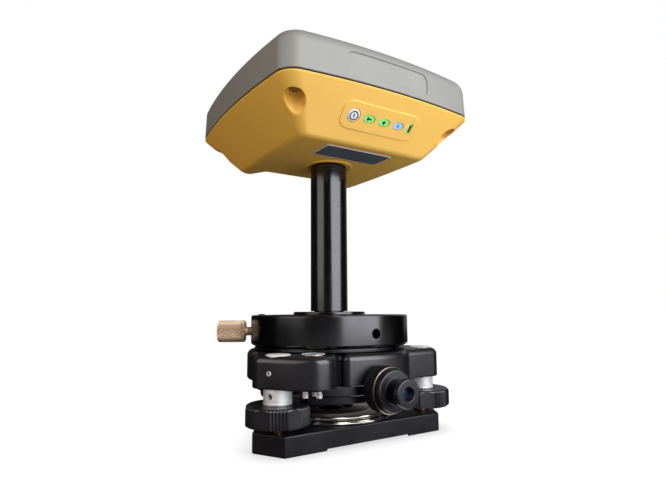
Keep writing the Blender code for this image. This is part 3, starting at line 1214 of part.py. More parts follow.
def receiver_inside():
    """Thread insert, battery, board, ground plane on its legs, and antenna patch."""
    bottom = RECEIVER_UNDERSIDE
    bore = STUD_RADIUS + SEAT_GAP
    top = bottom + MOUNT_INSERT_LENGTH - SEAT_GAP
    insert = [(bore, bottom), (MOUNT_INSERT_RADIUS, bottom), (MOUNT_INSERT_RADIUS, top), (bore, top)]
    solid("mount_insert", turned(insert, 16), "brass")
    floor = bottom + SHELL_WALL + SEAT_GAP
    centre = (BATTERY_OFFSET, -SHELL_WALL)
    pack = rounded_rectangle(BATTERY_WIDTH, BATTERY_LENGTH, BATTERY_CORNER, centre, 1)
    solid("battery_pack", prism(pack, floor, floor + BATTERY_HEIGHT), "battery_wrap")
    board = rounded_rectangle(2 * BOARD_HALF, 2 * BOARD_HALF, SHELL_WALL, steps=1)
    board_bottom = lower_rim() + SEAT_GAP
    board_top = board_bottom + BOARD_THICKNESS
    solid("main_board", prism(board, board_bottom, board_top), "circuit_board")
    plane = rounded_rectangle(2 * GROUND_HALF, 2 * GROUND_HALF, SHELL_WALL, steps=1)
    plane_bottom = board_top + GROUND_STANDOFF
    plane_top = plane_bottom + GROUND_THICKNESS
    ground = solid("ground_plane", prism(plane, plane_bottom, plane_top), "bright_metal")
    leg_bottom = board_top + SEAT_GAP
    leg_offset = GROUND_HALF - GROUND_LEG
    for x in (-leg_offset, leg_offset):
        for y in (-leg_offset, leg_offset):
            leg = rounded_rectangle(GROUND_LEG, GROUND_THICKNESS, 0, (x, y))
            join(ground, "leg", prism(leg, leg_bottom, plane_bottom + GROUND_THICKNESS / 2))
    patch = rounded_rectangle(2 * PATCH_HALF, 2 * PATCH_HALF, SHELL_WALL, steps=1)
    patch_bottom = plane_top + SEAT_GAP
    solid("antenna_patch", prism(patch, patch_bottom, patch_bottom + PATCH_THICKNESS), "ceramic")


def build():
    """Make every piece of the object."""
    clear_scene()
    base_plate()
    thread_insert()
    spring_plate()
    for foot, angle in FOOT_ANGLES.items():
        foot_screw(foot, angle)
        foot_bush(foot, angle)
        foot_cap(foot, angle)
    tribrach_housing()
    bottom_cover()
    circular_level()
    plummet()
    locking_plate()
    lock_knob()
    adapter_base()
    adapter_disc()
    pole()
    bottom_housing()
    front_panel()
    port()
    parting_seal()
    top_cover()
    housing_screws()
    receiver_inside()


build()
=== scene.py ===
"""Looks of a satellite positioning receiver on its pole, rotating adapter and levelling base."""

from math import asin, atan, atan2, copysign, cos, hypot, pi, radians, sin, sqrt, tan, tau

import bmesh
import bpy
from bpy.props import FloatProperty, FloatVectorProperty, IntProperty, PointerProperty
from bpy.types import Operator, Panel, PropertyGroup
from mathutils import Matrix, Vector


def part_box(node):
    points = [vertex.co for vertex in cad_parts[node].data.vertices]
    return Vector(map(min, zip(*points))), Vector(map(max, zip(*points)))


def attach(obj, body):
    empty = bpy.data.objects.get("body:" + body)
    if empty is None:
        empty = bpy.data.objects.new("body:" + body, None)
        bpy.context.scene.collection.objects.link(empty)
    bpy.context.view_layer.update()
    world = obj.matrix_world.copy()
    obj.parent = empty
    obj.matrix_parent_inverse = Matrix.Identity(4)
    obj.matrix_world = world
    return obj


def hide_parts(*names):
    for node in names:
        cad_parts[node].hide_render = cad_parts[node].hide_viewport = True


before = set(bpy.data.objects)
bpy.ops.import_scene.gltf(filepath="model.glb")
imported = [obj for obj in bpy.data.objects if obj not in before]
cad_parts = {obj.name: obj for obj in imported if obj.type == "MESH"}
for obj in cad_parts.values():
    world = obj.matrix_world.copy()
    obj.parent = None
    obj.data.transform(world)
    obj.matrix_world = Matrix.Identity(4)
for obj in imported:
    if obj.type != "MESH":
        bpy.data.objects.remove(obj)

bl_info = {
    "name": "Surveying receiver looks",
    "version": (1, 0, 0),
    "blender": (4, 5, 0),
    "location": "View3D > Sidebar > Survey",
    "description": "Models and finishes the pieces of a satellite positioning receiver",
    "category": "Add Mesh",
}

MM = 0.001
WELD = 0.002 * MM
GAP = 0.3 * MM
OVERCUT = 2.0 * MM
FEET = ("back", "front_left", "front_right")
SIGHT = (pi / 2, 0, 0)
CLAMP_DROP = 10.8 * MM
SCREW_HEAD = 2.8 * MM
LOCK_SHAFT = 3.0 * MM
COLUMN = "receiver_column"
WHITE = (1.0, 1.0, 1.0, 1.0)
COOL = (0.92, 0.91, 1.0, 1.0)
ROUNDING = [(sin(pi / 12 * step), cos(pi / 12 * step)) for step in range(7)]


# Values that a user would change

def named(group):
    """Name each property of a group after its attribute."""
    for attribute, made in group.__annotations__.items():
        made.keywords["name"] = attribute.replace("_", " ").capitalize()
    return group


def mm(note, value):
    """Return a length property, given in millimetres."""
    return FloatProperty(description=note, default=value * MM, unit="LENGTH", precision=5)


def turn(note, degrees):
    """Return an angle property, given in degrees."""
    return FloatProperty(description=note, default=radians(degrees), unit="ROTATION")


def count(note, value):
    """Return a whole number property."""
    return IntProperty(description=note, default=value, min=1)


def amount(note, value):
    """Return a plain number property."""
    return FloatProperty(description=note, default=value)


def tint(note, colour):
    """Return a colour property."""
    return FloatVectorProperty(description=note, default=colour, size=3, subtype="COLOR", min=0.0, max=1.0)


@named
class LevellingBaseSizes(PropertyGroup):
    """Sizes of the levelling base that the frame doesn't give."""
    plate_reach: mm("End faces from the plumb axis", 71.5)
    plate_end_half: mm("Half width of the end faces", 10.9)
    plate_corner: mm("Fillet of the upright corners", 1.6)
    plate_edge: mm("Rounding of the plate's edges", 0.9)
    relief_radius: mm("Hollow under the plate", 54.0)
    relief_depth: mm("Depth of that hollow", 1.3)
    tripod_bore: mm("Radius of the tripod thread", 8.0)
    thread_pitch: mm("Pitch of the tripod thread", 2.31)
    insert_radius: mm("Thread insert in the plate", 12.0)
    insert_flange: mm("Flange of the thread insert", 15.5)
    ball_radius: mm("Ball of a foot screw", 5.0)
    neck_radius: mm("Neck of a foot screw", 3.2)
    spindle_radius: mm("Thread of a foot screw", 4.0)
    knob_radius: mm("Foot knob over its ridges", 18.7)
    knob_groups: count("Groups of flutes on a knob", 6)
    flutes: count("Flutes in each group", 5)
    flute_pitch: turn("Angle between two flutes", 6.0)
    flute_depth: mm("Depth of a flute", 0.75)
    knob_hollow: mm("Hollow between two groups", 0.9)
    knob_edge: mm("Chamfer of a foot knob", 1.5)
    knob_floor: mm("Thickness under the knob's well", 3.2)
    bush_radius: mm("Bush of a foot screw", 8.3)
    capstan_radius: mm("Radius of a capstan hole", 1.8)
    capstan_height: mm("Height of the capstan holes", 31.3)
    housing_radius: mm("Housing between its lobes", 55.5)
    housing_edge: mm("Rounding of the upper edge", 3.8)
    housing_foot: mm("Rounding of the lower edge", 1.0)
    lobe_reach: mm("End faces from the plumb axis", 72.0)
    lobe_half: turn("Half angle of an end face", 9.0)
    lobe_root: turn("From a lobe's middle to its root", 27.0)
    lobe_fillet: mm("Fillet of the upright corners", 8.0)
    level_lobe_start: turn("Where the level's lobe widens", 11.5)
    level_lobe: turn("Where the level's lobe ends", 29.5)
    level_lobe_fillet: mm("Fillet of the level's lobe", 12.0)
    pad_recess: mm("Corner beside the plummet's pad", 48.5)
    pad_recess_turn: turn("Angle of that corner", 35.5)
    pad_distance: mm("Pad from the plumb axis", 55.0)
    pad_half: mm("Half width of the pad", 22.0)
    pad_curve: mm("Radius of the pad's front", 90.0)
    housing_bore: mm("Middle bore of the housing", 22.0)
    set_hole: mm("Set screw hole in a lobe", 1.5)
    set_height: mm("Height of those holes", 44.0)
    cover_step: mm("Cover under its step", 46.5)
    cover_step_height: mm("Height of the cover's step", 28.8)
    cover_scallop: mm("Clearance round a foot knob", 19.4)
    cover_scallop_top: mm("Top of that clearance", 30.2)
    plummet_height: mm("Height of the plummet's axis", 33.5)
    barrel_radius: mm("Barrel of the plummet", 7.0)
    focus_radius: mm("Radius of the focus ring", 13.4)
    focus_ribs: count("Ribs round the focus ring", 72)
    focus_rib_depth: mm("Depth of those ribs", 0.35)
    collar_radius: mm("Collar of the eyepiece", 11.8)
    collar_length: mm("Length of the collar", 3.2)
    waist_radius: mm("Eyepiece behind its head", 7.3)
    head_radius: mm("Head of the eyepiece", 8.0)
    head_length: mm("Length of the head", 4.2)
    eye_bore: mm("Opening of the eyepiece", 3.8)
    lock_turn: turn("Lock knob round the plumb axis", 30.0)
    lock_height: mm("Height of the lock knob's axis", 43.8)
    lock_radius: mm("Radius of the lock knob", 10.5)
    lock_base: mm("Thickness of its disc", 5.0)
    lock_wing: mm("Thickness of its wing", 7.0)


@named
class AdapterSizes(PropertyGroup):
    """Sizes of the rotating adapter and the pole that the frame doesn't give."""
    lower_edge: mm("Lower edge of the disc", 1.9)
    upper_edge: mm("Upper edge of the disc", 1.1)
    post_radius: mm("Radius of the adapter's post", 14.0)
    pin_radius: mm("Radius of the adapter's pins", 4.0)
    pin_circle: mm("Pins from the plumb axis", 33.0)
    bearing_room: mm("Bore for the bearing", 16.6)
    side_hole: mm("Hole in the disc's front", 3.1)
    side_hole_depth: mm("Depth of that hole", 15.0)
    clamp_turn: turn("Clamp screw round the plumb axis", 150.0)
    clamp_start: mm("Where the clamp knob begins", 57.4)
    clamp_end: mm("Where the clamp knob ends", 75.7)
    clamp_radius: mm("Radius of the clamp knob", 7.5)
    clamp_stem: mm("Stem of the clamp screw", 2.95)
    clamp_stem_start: mm("Where the stem begins", 40.0)
    clamp_edge: mm("Chamfer of the clamp knob", 0.9)
    knurls: count("Knurls round the clamp knob", 28)
    knurl_depth: mm("Depth of the knurls", 0.65)
    stud_bore: mm("Holes for the studs", 8.1)
    pole_wall: mm("Wall of the pole's tube", 2.3)
    spigot_radius: mm("Flange's spigot in the tube", 10.2)


@named
class ReceiverSizes(PropertyGroup):
    """Sizes of the receiver that the frame doesn't give."""
    bow: mm("Bulge of the sides at the rim", 3.65)
    corner: mm("Corner radius at the rim", 12.7)
    low_half: mm("Half width of the underside", 48.5)
    low_bow: mm("Bulge of the underside's sides", 1.0)
    low_corner: mm("Corner radius of the underside", 5.0)
    low_edge: mm("Rounding under the slope", 2.0)
    rim_edge: mm("Rounding at the parting line", 0.6)
    lip: mm("Upright lip at the parting line", 1.0)
    wall: mm("Wall of the two covers", 2.5)
    draft: mm("Inward lean of the grey wall", 0.6)
    wall_height: mm("Height of the grey wall", 16.5)
    shoulder: mm("Shoulder of the grey cover", 10.0)
    scallop: mm("Radius of the screw scallops", 6.0)
    scallop_wall: mm("Wall round a scallop", 2.3)
    screw_offset: mm("Corner screws from the middle", 58.0)
    shank_radius: mm("Shank of a corner screw", 1.6)
    boss_radius: mm("Raised ring round the pole", 16.8)
    boss_width: mm("Width of that ring", 1.8)
    boss_height: mm("Height of that ring", 0.7)
    insert_room: mm("Hole for the thread insert", 12.3)
    panel_width: mm("Width of the raised panel", 57.0)
    panel_depth: mm("Panel's extent up the slope", 17.0)
    panel_corner: mm("Corner radius of the panel", 6.0)
    panel_step: mm("Height of the raised panel", 0.5)
    panel_rise: mm("Panel's middle over the underside", 12.9)
    button_radius: mm("Radius of the power button", 4.15)
    button_offset: mm("Power button along X", -20.5)
    lens_width: mm("Width of an indicator lens", 7.8)
    lens_depth: mm("Lens's extent up the slope", 4.8)
    window_width: mm("Width of the battery window", 3.0)
    window_depth: mm("Window's extent up the slope", 6.8)
    recess_left: mm("Left end of the bare recess", -32.0)
    recess_right: mm("Right end of the bare recess", 28.0)
    recess_bottom: mm("Lower edge above the rim", 3.6)
    recess_height: mm("Height of the bare recess", 13.8)
    recess_depth: mm("Depth of the bare recess", 0.8)
    plate_width: mm("Bare plate on the underside", 50.0)
    plate_depth: mm("Bare plate's extent along Y", 20.0)
    plate_middle: mm("Bare plate's place along Y", -32.0)
    bay_half: mm("Half width of the port bay", 34.0)
    bay_fade: mm("Fade of the bay's sides", 9.0)
    bay_start: mm("Where the bay begins along Y", 33.0)
    bay_end: mm("Where the bay ends along Y", 66.0)
    bay_rise: mm("Height of the bay", 22.3)
    port_distance: mm("Place of the port along Y", 50.0)
    port_radius: mm("Socket of the port", 6.0)
    port_plug: mm("Opening of the port", 4.5)
    cap_radius: mm("Radius of the port's cap", 7.6)
    cap_thickness: mm("Thickness of the port's cap", 2.6)
    hinge_offset: mm("Cap's hinge from the port", 9.6)


@named
class FinishColours(PropertyGroup):
    """Colours of the finishes."""
    black: tint("Paint of the base and the knobs", (0.007, 0.0065, 0.0085))
    anodised: tint("Turned and anodised pieces", (0.078, 0.078, 0.085))
    bright: tint("Turned aluminium", (0.86, 0.86, 0.875))
    chrome: tint("Spring plate and screws", (0.66, 0.63, 0.58))
    # The dish's dark steel is a painted reflection of the black housing above it.
    dish: tint("Dished middle of the spring plate", (0.20, 0.155, 0.12))
    brass: tint("Clamp screw", (1.0, 0.725, 0.525))
    copper: tint("Spindles and bearing", (0.34, 0.18, 0.095))
    worn: tint("Bare edge of the focus ring", (0.42, 0.35, 0.29))
    grey: tint("Upper cover of the receiver", (0.262, 0.262, 0.251))
    yellow: tint("Lower cover of the receiver", (0.94, 0.555, 0.095))
    # The screw heads' dark brown is painted shade under the scallops' ceilings.
    pocket: tint("Screws in the corner scallops", (0.30, 0.14, 0.012))
    rubber: tint("Seal and port", (0.020, 0.017, 0.014))
    button: tint("Power button", (0.82, 0.83, 0.88))
    mark: tint("Plain marks on the panel", (0.01, 0.03, 0.015))
    green: tint("Green indicator lenses", (0.22, 0.80, 0.20))
    blue: tint("Blue indicator lens", (0.32, 0.55, 0.88))
    glass: tint("Lens of the eyepiece", (0.05, 0.08, 0.30))
    vial: tint("Vial of the level", (0.55, 0.70, 0.30))
    plate: tint("Plate on the underside", (0.11, 0.13, 0.17))
    board: tint("Board and its mask", (0.03, 0.18, 0.08))
    ceramic: tint("Antenna patch", (0.72, 0.70, 0.62))
    wrap: tint("Wrap of the battery", (0.08, 0.10, 0.15))


@named
class StageSettings(PropertyGroup):
    """Camera, light and floor."""
    camera_place: FloatVectorProperty(
        description="Place of the camera", size=3, subtype="TRANSLATION", unit="LENGTH",
        default=(-0.17943, -0.28966, 0.07918))
    camera_turn: FloatVectorProperty(
        description="Turn of the camera", size=3, subtype="EULER",
        default=(radians(96.980), radians(0.337), radians(-32.213)))
    lens: amount("Focal length of the camera, in millimetres", 26.39)
    key: amount("Radiance of the tall softbox in front", 3.9)
    side: amount("Radiance of the softbox on the left", 1.55)
    fill: amount("Radiance of the warm fill on the left", 2.3)
    glow: amount("Radiance of the floor, seen by gloss only", 1.0)
    back: amount("Radiance of the pale wall behind", 0.24)
    back_fill: amount("Radiance of the fill behind, not seen by gloss", 1.6)
    sky: amount("Radiance of the room all round", 0.04)
    # The floor's tones paint the key's light in front and shade behind.
    floor_painted_light: amount("Reflectance of the floor in front", 0.8)
    floor_painted_shade: amount("Reflectance of the floor behind", 0.06)
    contact: amount("Brightness of the floor in the contact shadow", 0.7)


# Modelling tools

def begin():
    """Leave edit mode and deselect everything."""
    if bpy.context.mode != "OBJECT":
        bpy.ops.object.mode_set(mode="OBJECT")
    bpy.ops.object.select_all(action="DESELECT")


def pick(piece):
    """Select one piece alone and make it active."""
    begin()
    bpy.context.view_layer.objects.active = piece
    piece.select_set(True)
    return piece


def close(name):
    """Merge doubles, turn the faces outwards, leave edit mode and name the piece."""
    bpy.ops.mesh.select_all(action="SELECT")
    bpy.ops.mesh.remove_doubles(threshold=WELD)
    bpy.ops.mesh.fill_holes(sides=0)
    bpy.ops.mesh.select_all(action="SELECT")
    bpy.ops.mesh.normals_make_consistent(inside=False)
    bpy.ops.object.mode_set(mode="OBJECT")
    piece = bpy.context.object
    piece.name = name
    piece.data.name = name
    return piece


def lathe(name, profile, closed=False, steps=96):
    """Spin a profile of (radius, height) points about Z; an open one ends on the axis."""
    begin()
    points = [Vector((radius, 0, height)) for radius, height in profile]
    if closed:
        points.append(points[0])
    bpy.ops.mesh.primitive_plane_add(size=MM)
    bpy.ops.object.mode_set(mode="EDIT")
    bpy.ops.mesh.merge(type="CENTER")
    bpy.ops.transform.translate(value=points[0])
    for here, there in zip(points, points[1:]):
        bpy.ops.mesh.extrude_vertices_move(TRANSFORM_OT_translate={"value": there - here})
    bpy.ops.mesh.select_all(action="SELECT")
    bpy.ops.mesh.spin(steps=steps, angle=tau, center=(0, 0, 0), axis=(0, 0, 1))
    return close(name)


def turned(name, corners, fillet_steps, closed=True, steps=96):
    """Spin a profile whose corners are rounded."""
    return lathe(name, rounded(corners, fillet_steps, closed), closed, steps)


def loft(name, rings):
    """Extrude a loop of edges through rings of equal count; open ends are filled."""
    begin()
    bpy.ops.mesh.primitive_circle_add(vertices=len(rings[0]), radius=MM)
    piece = bpy.context.object
    order = piece.data.attributes.new("order", "INT", "POINT")
    for i in range(len(rings[0])):
        order.data[i].value = i
    bpy.ops.object.mode_set(mode="EDIT")
    for number, ring in enumerate(rings):
        if number:
            bpy.ops.mesh.extrude_edges_move()
        mesh = bmesh.from_edit_mesh(piece.data)
        place_in_ring = mesh.verts.layers.int["order"]
        for vert in mesh.verts:
            if vert.select:
                vert.co = ring[vert[place_in_ring]]
        bmesh.update_edit_mesh(piece.data)
    close(name)
    piece.data.attributes.remove(piece.data.attributes["order"])
    return piece


def slab(name, outline, bottom, top):
    """Raise an outline of (x, y) points from one height to another."""
    return loft(name, [[(x, y, z) for x, y in outline] for z in (bottom, top)])


def modify(piece, kind, **settings):
    """Put a modifier on a piece and apply it."""
    pick(piece)
    bpy.ops.object.modifier_add(type=kind)
    modifier = piece.modifiers[-1]
    for setting, value in settings.items():
        setattr(modifier, setting, value)
    bpy.ops.object.modifier_apply(modifier=modifier.name)
    return piece


def combine(piece, other, operation="DIFFERENCE"):
    """Cut, or join, a piece with another, which is used up."""
    modify(piece, "BOOLEAN", operation=operation, solver="EXACT", object=other)
    bpy.data.objects.remove(other)
    return piece


def place(piece, location=(0, 0, 0), rotation=(0, 0, 0)):
    """Turn and move a piece, and keep its place in its mesh."""
    pick(piece)
    piece.rotation_euler = rotation
    piece.location = location
    bpy.ops.object.transform_apply(location=True, rotation=True, scale=True)
    return piece


def drum(radius, bottom, top, centre=(0, 0), sides=48):
    """Return an upright round cutter."""
    begin()
    bpy.ops.mesh.primitive_cylinder_add(vertices=sides, radius=radius, depth=top - bottom,
        location=(*centre, (bottom + top) / 2))
    return place(bpy.context.object, bpy.context.object.location)


def drill(piece, radius, bottom, top, centre=(0, 0), sides=48):
    """Bore an upright round hole."""
    return combine(piece, drum(radius, bottom, top, centre, sides))


def drill_outwards(piece, radius, start, end, angle, height, sides=32):
    """Bore a level round hole along a spoke at an angle."""
    bit = drum(radius, start, end, sides=sides)
    return combine(piece, place(bit, (0, 0, height), (0, pi / 2, angle)))


def soften(piece, width, segments=4, angle=40.0):
    """Round the sharp edges of a piece."""
    return modify(piece, "BEVEL", width=width, segments=segments, limit_method="ANGLE",
                  angle_limit=radians(angle))


def surface(piece, angle=35.0):
    """Shade a piece smooth, except across its sharp edges."""
    pick(piece)
    bpy.ops.object.shade_smooth_by_angle(angle=radians(angle))
    return modify(piece, "WEIGHTED_NORMAL", keep_sharp=True)


def copy_piece(piece, name):
    """Return a copy of a piece with its own mesh."""
    pick(piece)
    bpy.ops.object.duplicate(linked=False)
    made = bpy.context.object
    made.name = name
    made.data.name = name
    return made


def dress(piece, body, look, slot, *nodes):
    """Give a piece its finish, the body that it rides on and the nodes that it stands for."""
    piece.data.materials.clear()
    piece.data.materials.append(finish(look))
    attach(piece, body)
    if nodes:
        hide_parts(*nodes)
    return piece


# Outlines

def polar(radius, angle):
    """Return the (x, y) point at a radius and an angle."""
    return (radius * cos(angle), radius * sin(angle))


def circle(radius, height, sides, centre=(0, 0)):
    """Return a level ring of points."""
    ring = []
    for i in range(sides):
        x, y = polar(radius, tau * i / sides)
        ring.append((centre[0] + x, centre[1] + y, height))
    return ring


def shaped_ring(radii, limit, height):
    """Return a level ring of points at given radii, held inside a limit."""
    return [(*polar(min(limit, radius), tau * i / len(radii)), height) for i, radius in enumerate(radii)]


def rounded(corners, steps=6, closed=True):
    """Round the corners of an outline; each corner is (x, y) or (x, y, fillet radius)."""
    points = []
    last = len(corners) - 1
    for i, corner in enumerate(corners):
        here = Vector(corner[:2])
        fillet = corner[2] if len(corner) > 2 else 0.0
        if fillet == 0.0 or (not closed and i in (0, last)):
            points.append(tuple(here))
            continue
        back = (Vector(corners[i - 1][:2]) - here).normalized()
        ahead = (Vector(corners[(i + 1) % len(corners)][:2]) - here).normalized()
        half = back.angle(ahead) / 2
        reach = fillet / tan(half)
        centre = here + (back + ahead).normalized() * (fillet / sin(half))
        start = here + back * reach - centre
        sweep = start.angle_signed(here + ahead * reach - centre)
        for step in range(steps + 1):
            along = -sweep * step / steps
            c, s = cos(along), sin(along)
            spoke = Vector((start.x * c - start.y * s, start.x * s + start.y * c))
            points.append(tuple(centre + spoke))
    return points


def rounded_rectangle(width, depth, fillet, centre=(0, 0), steps=8):
    """Return a rectangle with round corners."""
    x, y = width / 2, depth / 2
    corners = [(-x, -y), (x, -y), (x, y), (-x, y)]
    return rounded([(cx + centre[0], cy + centre[1], fillet) for cx, cy in corners], steps)


def oval(width, depth, centre=(0, 0), power=2.3, sides=48):
    """Return a full oval, between an ellipse and a rectangle."""
    points = []
    for i in range(sides):
        c, s = polar(1.0, tau * i / sides)
        x = copysign(abs(c) ** (2 / power), c) * width / 2
        y = copysign(abs(s) ** (2 / power), s) * depth / 2
        points.append((x + centre[0], y + centre[1]))
    return points


def along_sides(outline, parts=8):
    """Return an outline with extra points along its long level sides."""
    points = []
    for (x, y), (next_x, next_y) in zip(outline, outline[1:] + outline[:1]):
        steps = parts if abs(next_x - x) > 10 * MM else 1
        for i in range(steps):
            points.append((x + (next_x - x) * i / steps, y + (next_y - y) * i / steps))
    return points


def raised(points, height):
    """Return the points of an outline at a height."""
    return [(x, y, height) for x, y in points]


def inset(outline, distance):
    """Return an outline, drawn anticlockwise, moved inwards by a distance."""
    moved = []
    for i, point in enumerate(outline):
        here = Vector(point)
        back = (here - Vector(outline[i - 1])).normalized()
        ahead = (Vector(outline[(i + 1) % len(outline)]) - here).normalized()
        along = (back + ahead).normalized()
        step = distance / along.dot(back)
        moved.append((here.x - along.y * step, here.y + along.x * step))
    return moved


def scaled(points, share, centre=(0, 0)):
    """Return an outline drawn in towards a centre."""
    return [(centre[0] + (x - centre[0]) * share, centre[1] + (y - centre[1]) * share) for x, y in points]


def band(inner, outer, low, high):
    """Return the square profile of a ring."""
    return [(inner, low), (outer, low), (outer, high), (inner, high)]


def thread(crest, root, start, end, pitch):
    """Return the profile of a thread from one height to another."""
    points = []
    while start < end:
        points += [(crest, start), (root, start + pitch / 2)]
        start += pitch
    return points


# Places read from the frame

def spread(node):
    """Return a node's half width, lowest and highest height."""
    low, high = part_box(node)
    return (high.x - low.x) / 2, low.z, high.z


def middle(node):
    """Return the middle of a node's box."""
    low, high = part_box(node)
    return (low + high) / 2


def foot_place(foot):
    """Return the (x, y) place of a foot screw."""
    return middle("foot_spindle_" + foot).xy


def foot_turn(foot):
    """Return the angle of a foot screw round the plumb axis."""
    x, y = foot_place(foot)
    return atan2(y, x)


def at_feet(pattern, stem, turn_of):
    """Copy a pattern to the feet and return each foot's name with its copy."""
    made = []
    for foot in FEET:
        piece = copy_piece(pattern, stem + foot + "_form")
        made.append((foot, place(piece, (*foot_place(foot), 0), (0, 0, turn_of(foot)))))
    bpy.data.objects.remove(pattern)
    return made


# Finishes

def add_node(tree, kind, inputs, **settings):
    """Add a shader node; each input is a value or the socket that feeds it."""
    made = tree.nodes.new("ShaderNode" + kind)
    for setting, value in settings.items():
        setattr(made, setting, value)
    for socket, value in inputs.items():
        if isinstance(value, bpy.types.NodeSocket):
            tree.links.new(value, made.inputs[socket])
        else:
            made.inputs[socket].default_value = value
    return made


def new_group(name, inputs, outputs):
    """Start a shader node group with named sockets."""
    tree = bpy.data.node_groups.new(name, "ShaderNodeTree")
    for label, kind in inputs.items():
        tree.interface.new_socket(label, in_out="INPUT", socket_type="NodeSocket" + kind)
    for label in outputs:
        tree.interface.new_socket(label, in_out="OUTPUT", socket_type="NodeSocketFloat")
    return tree, tree.nodes.new("NodeGroupInput").outputs, tree.nodes.new("NodeGroupOutput").inputs


def grain_group(name):
    """Make the group for moulded and cast skins: fine height and slow mottle."""
    tree, given, result = new_group(name, {"Vector": "Vector", "Grain": "Float"}, ("Height", "Mottle"))
    where = given["Vector"]
    fine = add_node(tree, "TexNoise", {"Vector": where, "Scale": given["Grain"], "Detail": 3.0})
    slow = add_node(tree, "TexNoise", {"Vector": where, "Scale": 45.0, "Detail": 4.0})
    tree.links.new(fine.outputs[0], result["Height"])
    tree.links.new(slow.outputs[0], result["Mottle"])
    return tree


def turning_group(name):
    """Make the group for turned metal: fine rings about Z, by radius and height."""
    tree, given, result = new_group(name, {"Vector": "Vector", "Rings": "Float"}, ("Height", "Streak"))
    where, rings = given["Vector"], given["Rings"]
    flat = add_node(tree, "VectorMath", {0: where, 1: (1.0, 1.0, 0.0)}, operation="MULTIPLY")
    radius = add_node(tree, "VectorMath", {0: flat.outputs[0]}, operation="LENGTH").outputs["Value"]
    height = add_node(tree, "SeparateXYZ", {0: where}).outputs["Z"]
    along = add_node(tree, "Math", {0: radius, 1: height}, operation="ADD").outputs[0]
    broad = add_node(tree, "Math", {0: rings, 1: 0.2}, operation="MULTIPLY").outputs[0]
    for result_name, scale, detail in (("Height", rings, 4.0), ("Streak", broad, 2.0)):
        noise = add_node(tree, "TexNoise", {"W": along, "Scale": scale, "Detail": detail},
                         noise_dimensions="1D")
        tree.links.new(noise.outputs[0], result[result_name])
    return tree


def handling_group(name):
    """Make the group for handled surfaces: a soft mask of smudges."""
    tree, given, result = new_group(name, {"Vector": "Vector"}, ("Smudge",))
    cloud = add_node(tree, "TexNoise", {"Vector": given["Vector"], "Scale": 70.0, "Detail": 6.0,
                     "Distortion": 0.6})
    mask = add_node(tree, "MapRange", {"Value": cloud.outputs[0], "From Min": 0.35, "From Max": 0.7})
    tree.links.new(mask.outputs[0], result["Smudge"])
    return tree


EFFECTS = {"Surface grain": grain_group, "Turning marks": turning_group, "Handling marks": handling_group}


def use_effect(tree, name, inputs):
    """Place a shared node group, made on first use, and return its outputs."""
    group = bpy.data.node_groups.get(name) or EFFECTS[name](name)
    return add_node(tree, "Group", inputs, node_tree=group).outputs


def new_finish(name, **values):
    """Start a material; return it, its tree, shader inputs and Object coordinates."""
    material = bpy.data.materials.new(name)
    material.use_nodes = True
    tree = material.node_tree
    shader = tree.nodes["Principled BSDF"].inputs
    for socket, value in values.items():
        shader[socket.replace("_", " ")].default_value = value
    return material, tree, shader, tree.nodes.new("ShaderNodeTexCoord").outputs["Object"]


def shade(colour, factor):
    """Return a colour made lighter or darker, with its alpha."""
    return tuple(min(1.0, part * factor) for part in colour) + (1.0,)


def vary_colour(tree, shader, mask, colour, tone):
    """Let the colour wander a little round its value."""
    ends = {0: mask, 6: shade(colour, 1 - tone), 7: shade(colour, 1 + tone)}
    mixed = add_node(tree, "Mix", ends, data_type="RGBA").outputs[2]
    tree.links.new(mixed, shader["Base Color"])
    return mixed


def vary_gloss(tree, shader, mask, low, high):
    """Let the roughness move between two values."""
    gloss = add_node(tree, "MapRange", {"Value": mask, "To Min": low, "To Max": high})
    tree.links.new(gloss.outputs[0], shader["Roughness"])


def smudge(tree, shader, where, low, high):
    """Let handling marks move the roughness between two values."""
    mask = use_effect(tree, "Handling marks", {"Vector": where})["Smudge"]
    vary_gloss(tree, shader, mask, low, high)
    return mask


def emboss(tree, shader, height, depth):
    """Raise the surface by a height map of a given depth in millimetres."""
    bump = add_node(tree, "Bump", {"Height": height, "Distance": depth * MM, "Strength": 1.0})
    tree.links.new(bump.outputs["Normal"], shader["Normal"])


def moulded(name, colour, gloss, grain, depth, tone, metallic=0.0, sheen=0.5, ior=1.5, gleam=WHITE):
    """Return a moulded, painted or cast finish with fine grain and soft smudges."""
    material, tree, shader, where = new_finish(name, Metallic=metallic, Specular_IOR_Level=sheen, IOR=ior,
        Specular_Tint=gleam)
    grains = use_effect(tree, "Surface grain", {"Vector": where, "Grain": grain})
    smudge(tree, shader, where, *gloss)
    vary_colour(tree, shader, grains["Mottle"], colour, tone)
    emboss(tree, shader, grains["Height"], depth)
    return material


def turned_metal(name, colour, gloss, rings=2500.0, depth=0.004, tone=0.08, metallic=1.0, axis=(0, 0, 0),
                 centre=(0, 0, 0)):
    """Return a turned metal with fine rings about an axis."""
    material, tree, shader, where = new_finish(name, Metallic=metallic)
    mapping = add_node(tree, "Mapping", {"Vector": where, "Location": centre, "Rotation": axis},
                       vector_type="TEXTURE")
    marks = use_effect(tree, "Turning marks", {"Vector": mapping.outputs[0], "Rings": rings})
    smudge(tree, shader, where, *gloss)
    vary_colour(tree, shader, marks["Streak"], colour, tone)
    emboss(tree, shader, marks["Height"], depth)
    return material


def clear_glass(name, colour, roughness=0.05):
    """Return a coloured glass with faint smudges."""
    material, tree, shader, where = new_finish(name, Transmission_Weight=0.6, IOR=1.5, Coat_Weight=0.5)
    mask = smudge(tree, shader, where, roughness, roughness + 0.06)
    vary_colour(tree, shader, mask, colour, 0.1)
    return material


def lit_lens(name, colour):
    """Return a translucent indicator lens with a faint own light."""
    material, tree, shader, where = new_finish(name, Coat_Weight=0.6, Coat_Roughness=0.08,
        Emission_Strength=0.12)
    mottle = use_effect(tree, "Surface grain", {"Vector": where, "Grain": 900.0})["Mottle"]
    mixed = vary_colour(tree, shader, mottle, colour, 0.12)
    tree.links.new(mixed, shader["Emission Color"])
    vary_gloss(tree, shader, mottle, 0.2, 0.32)
    return material


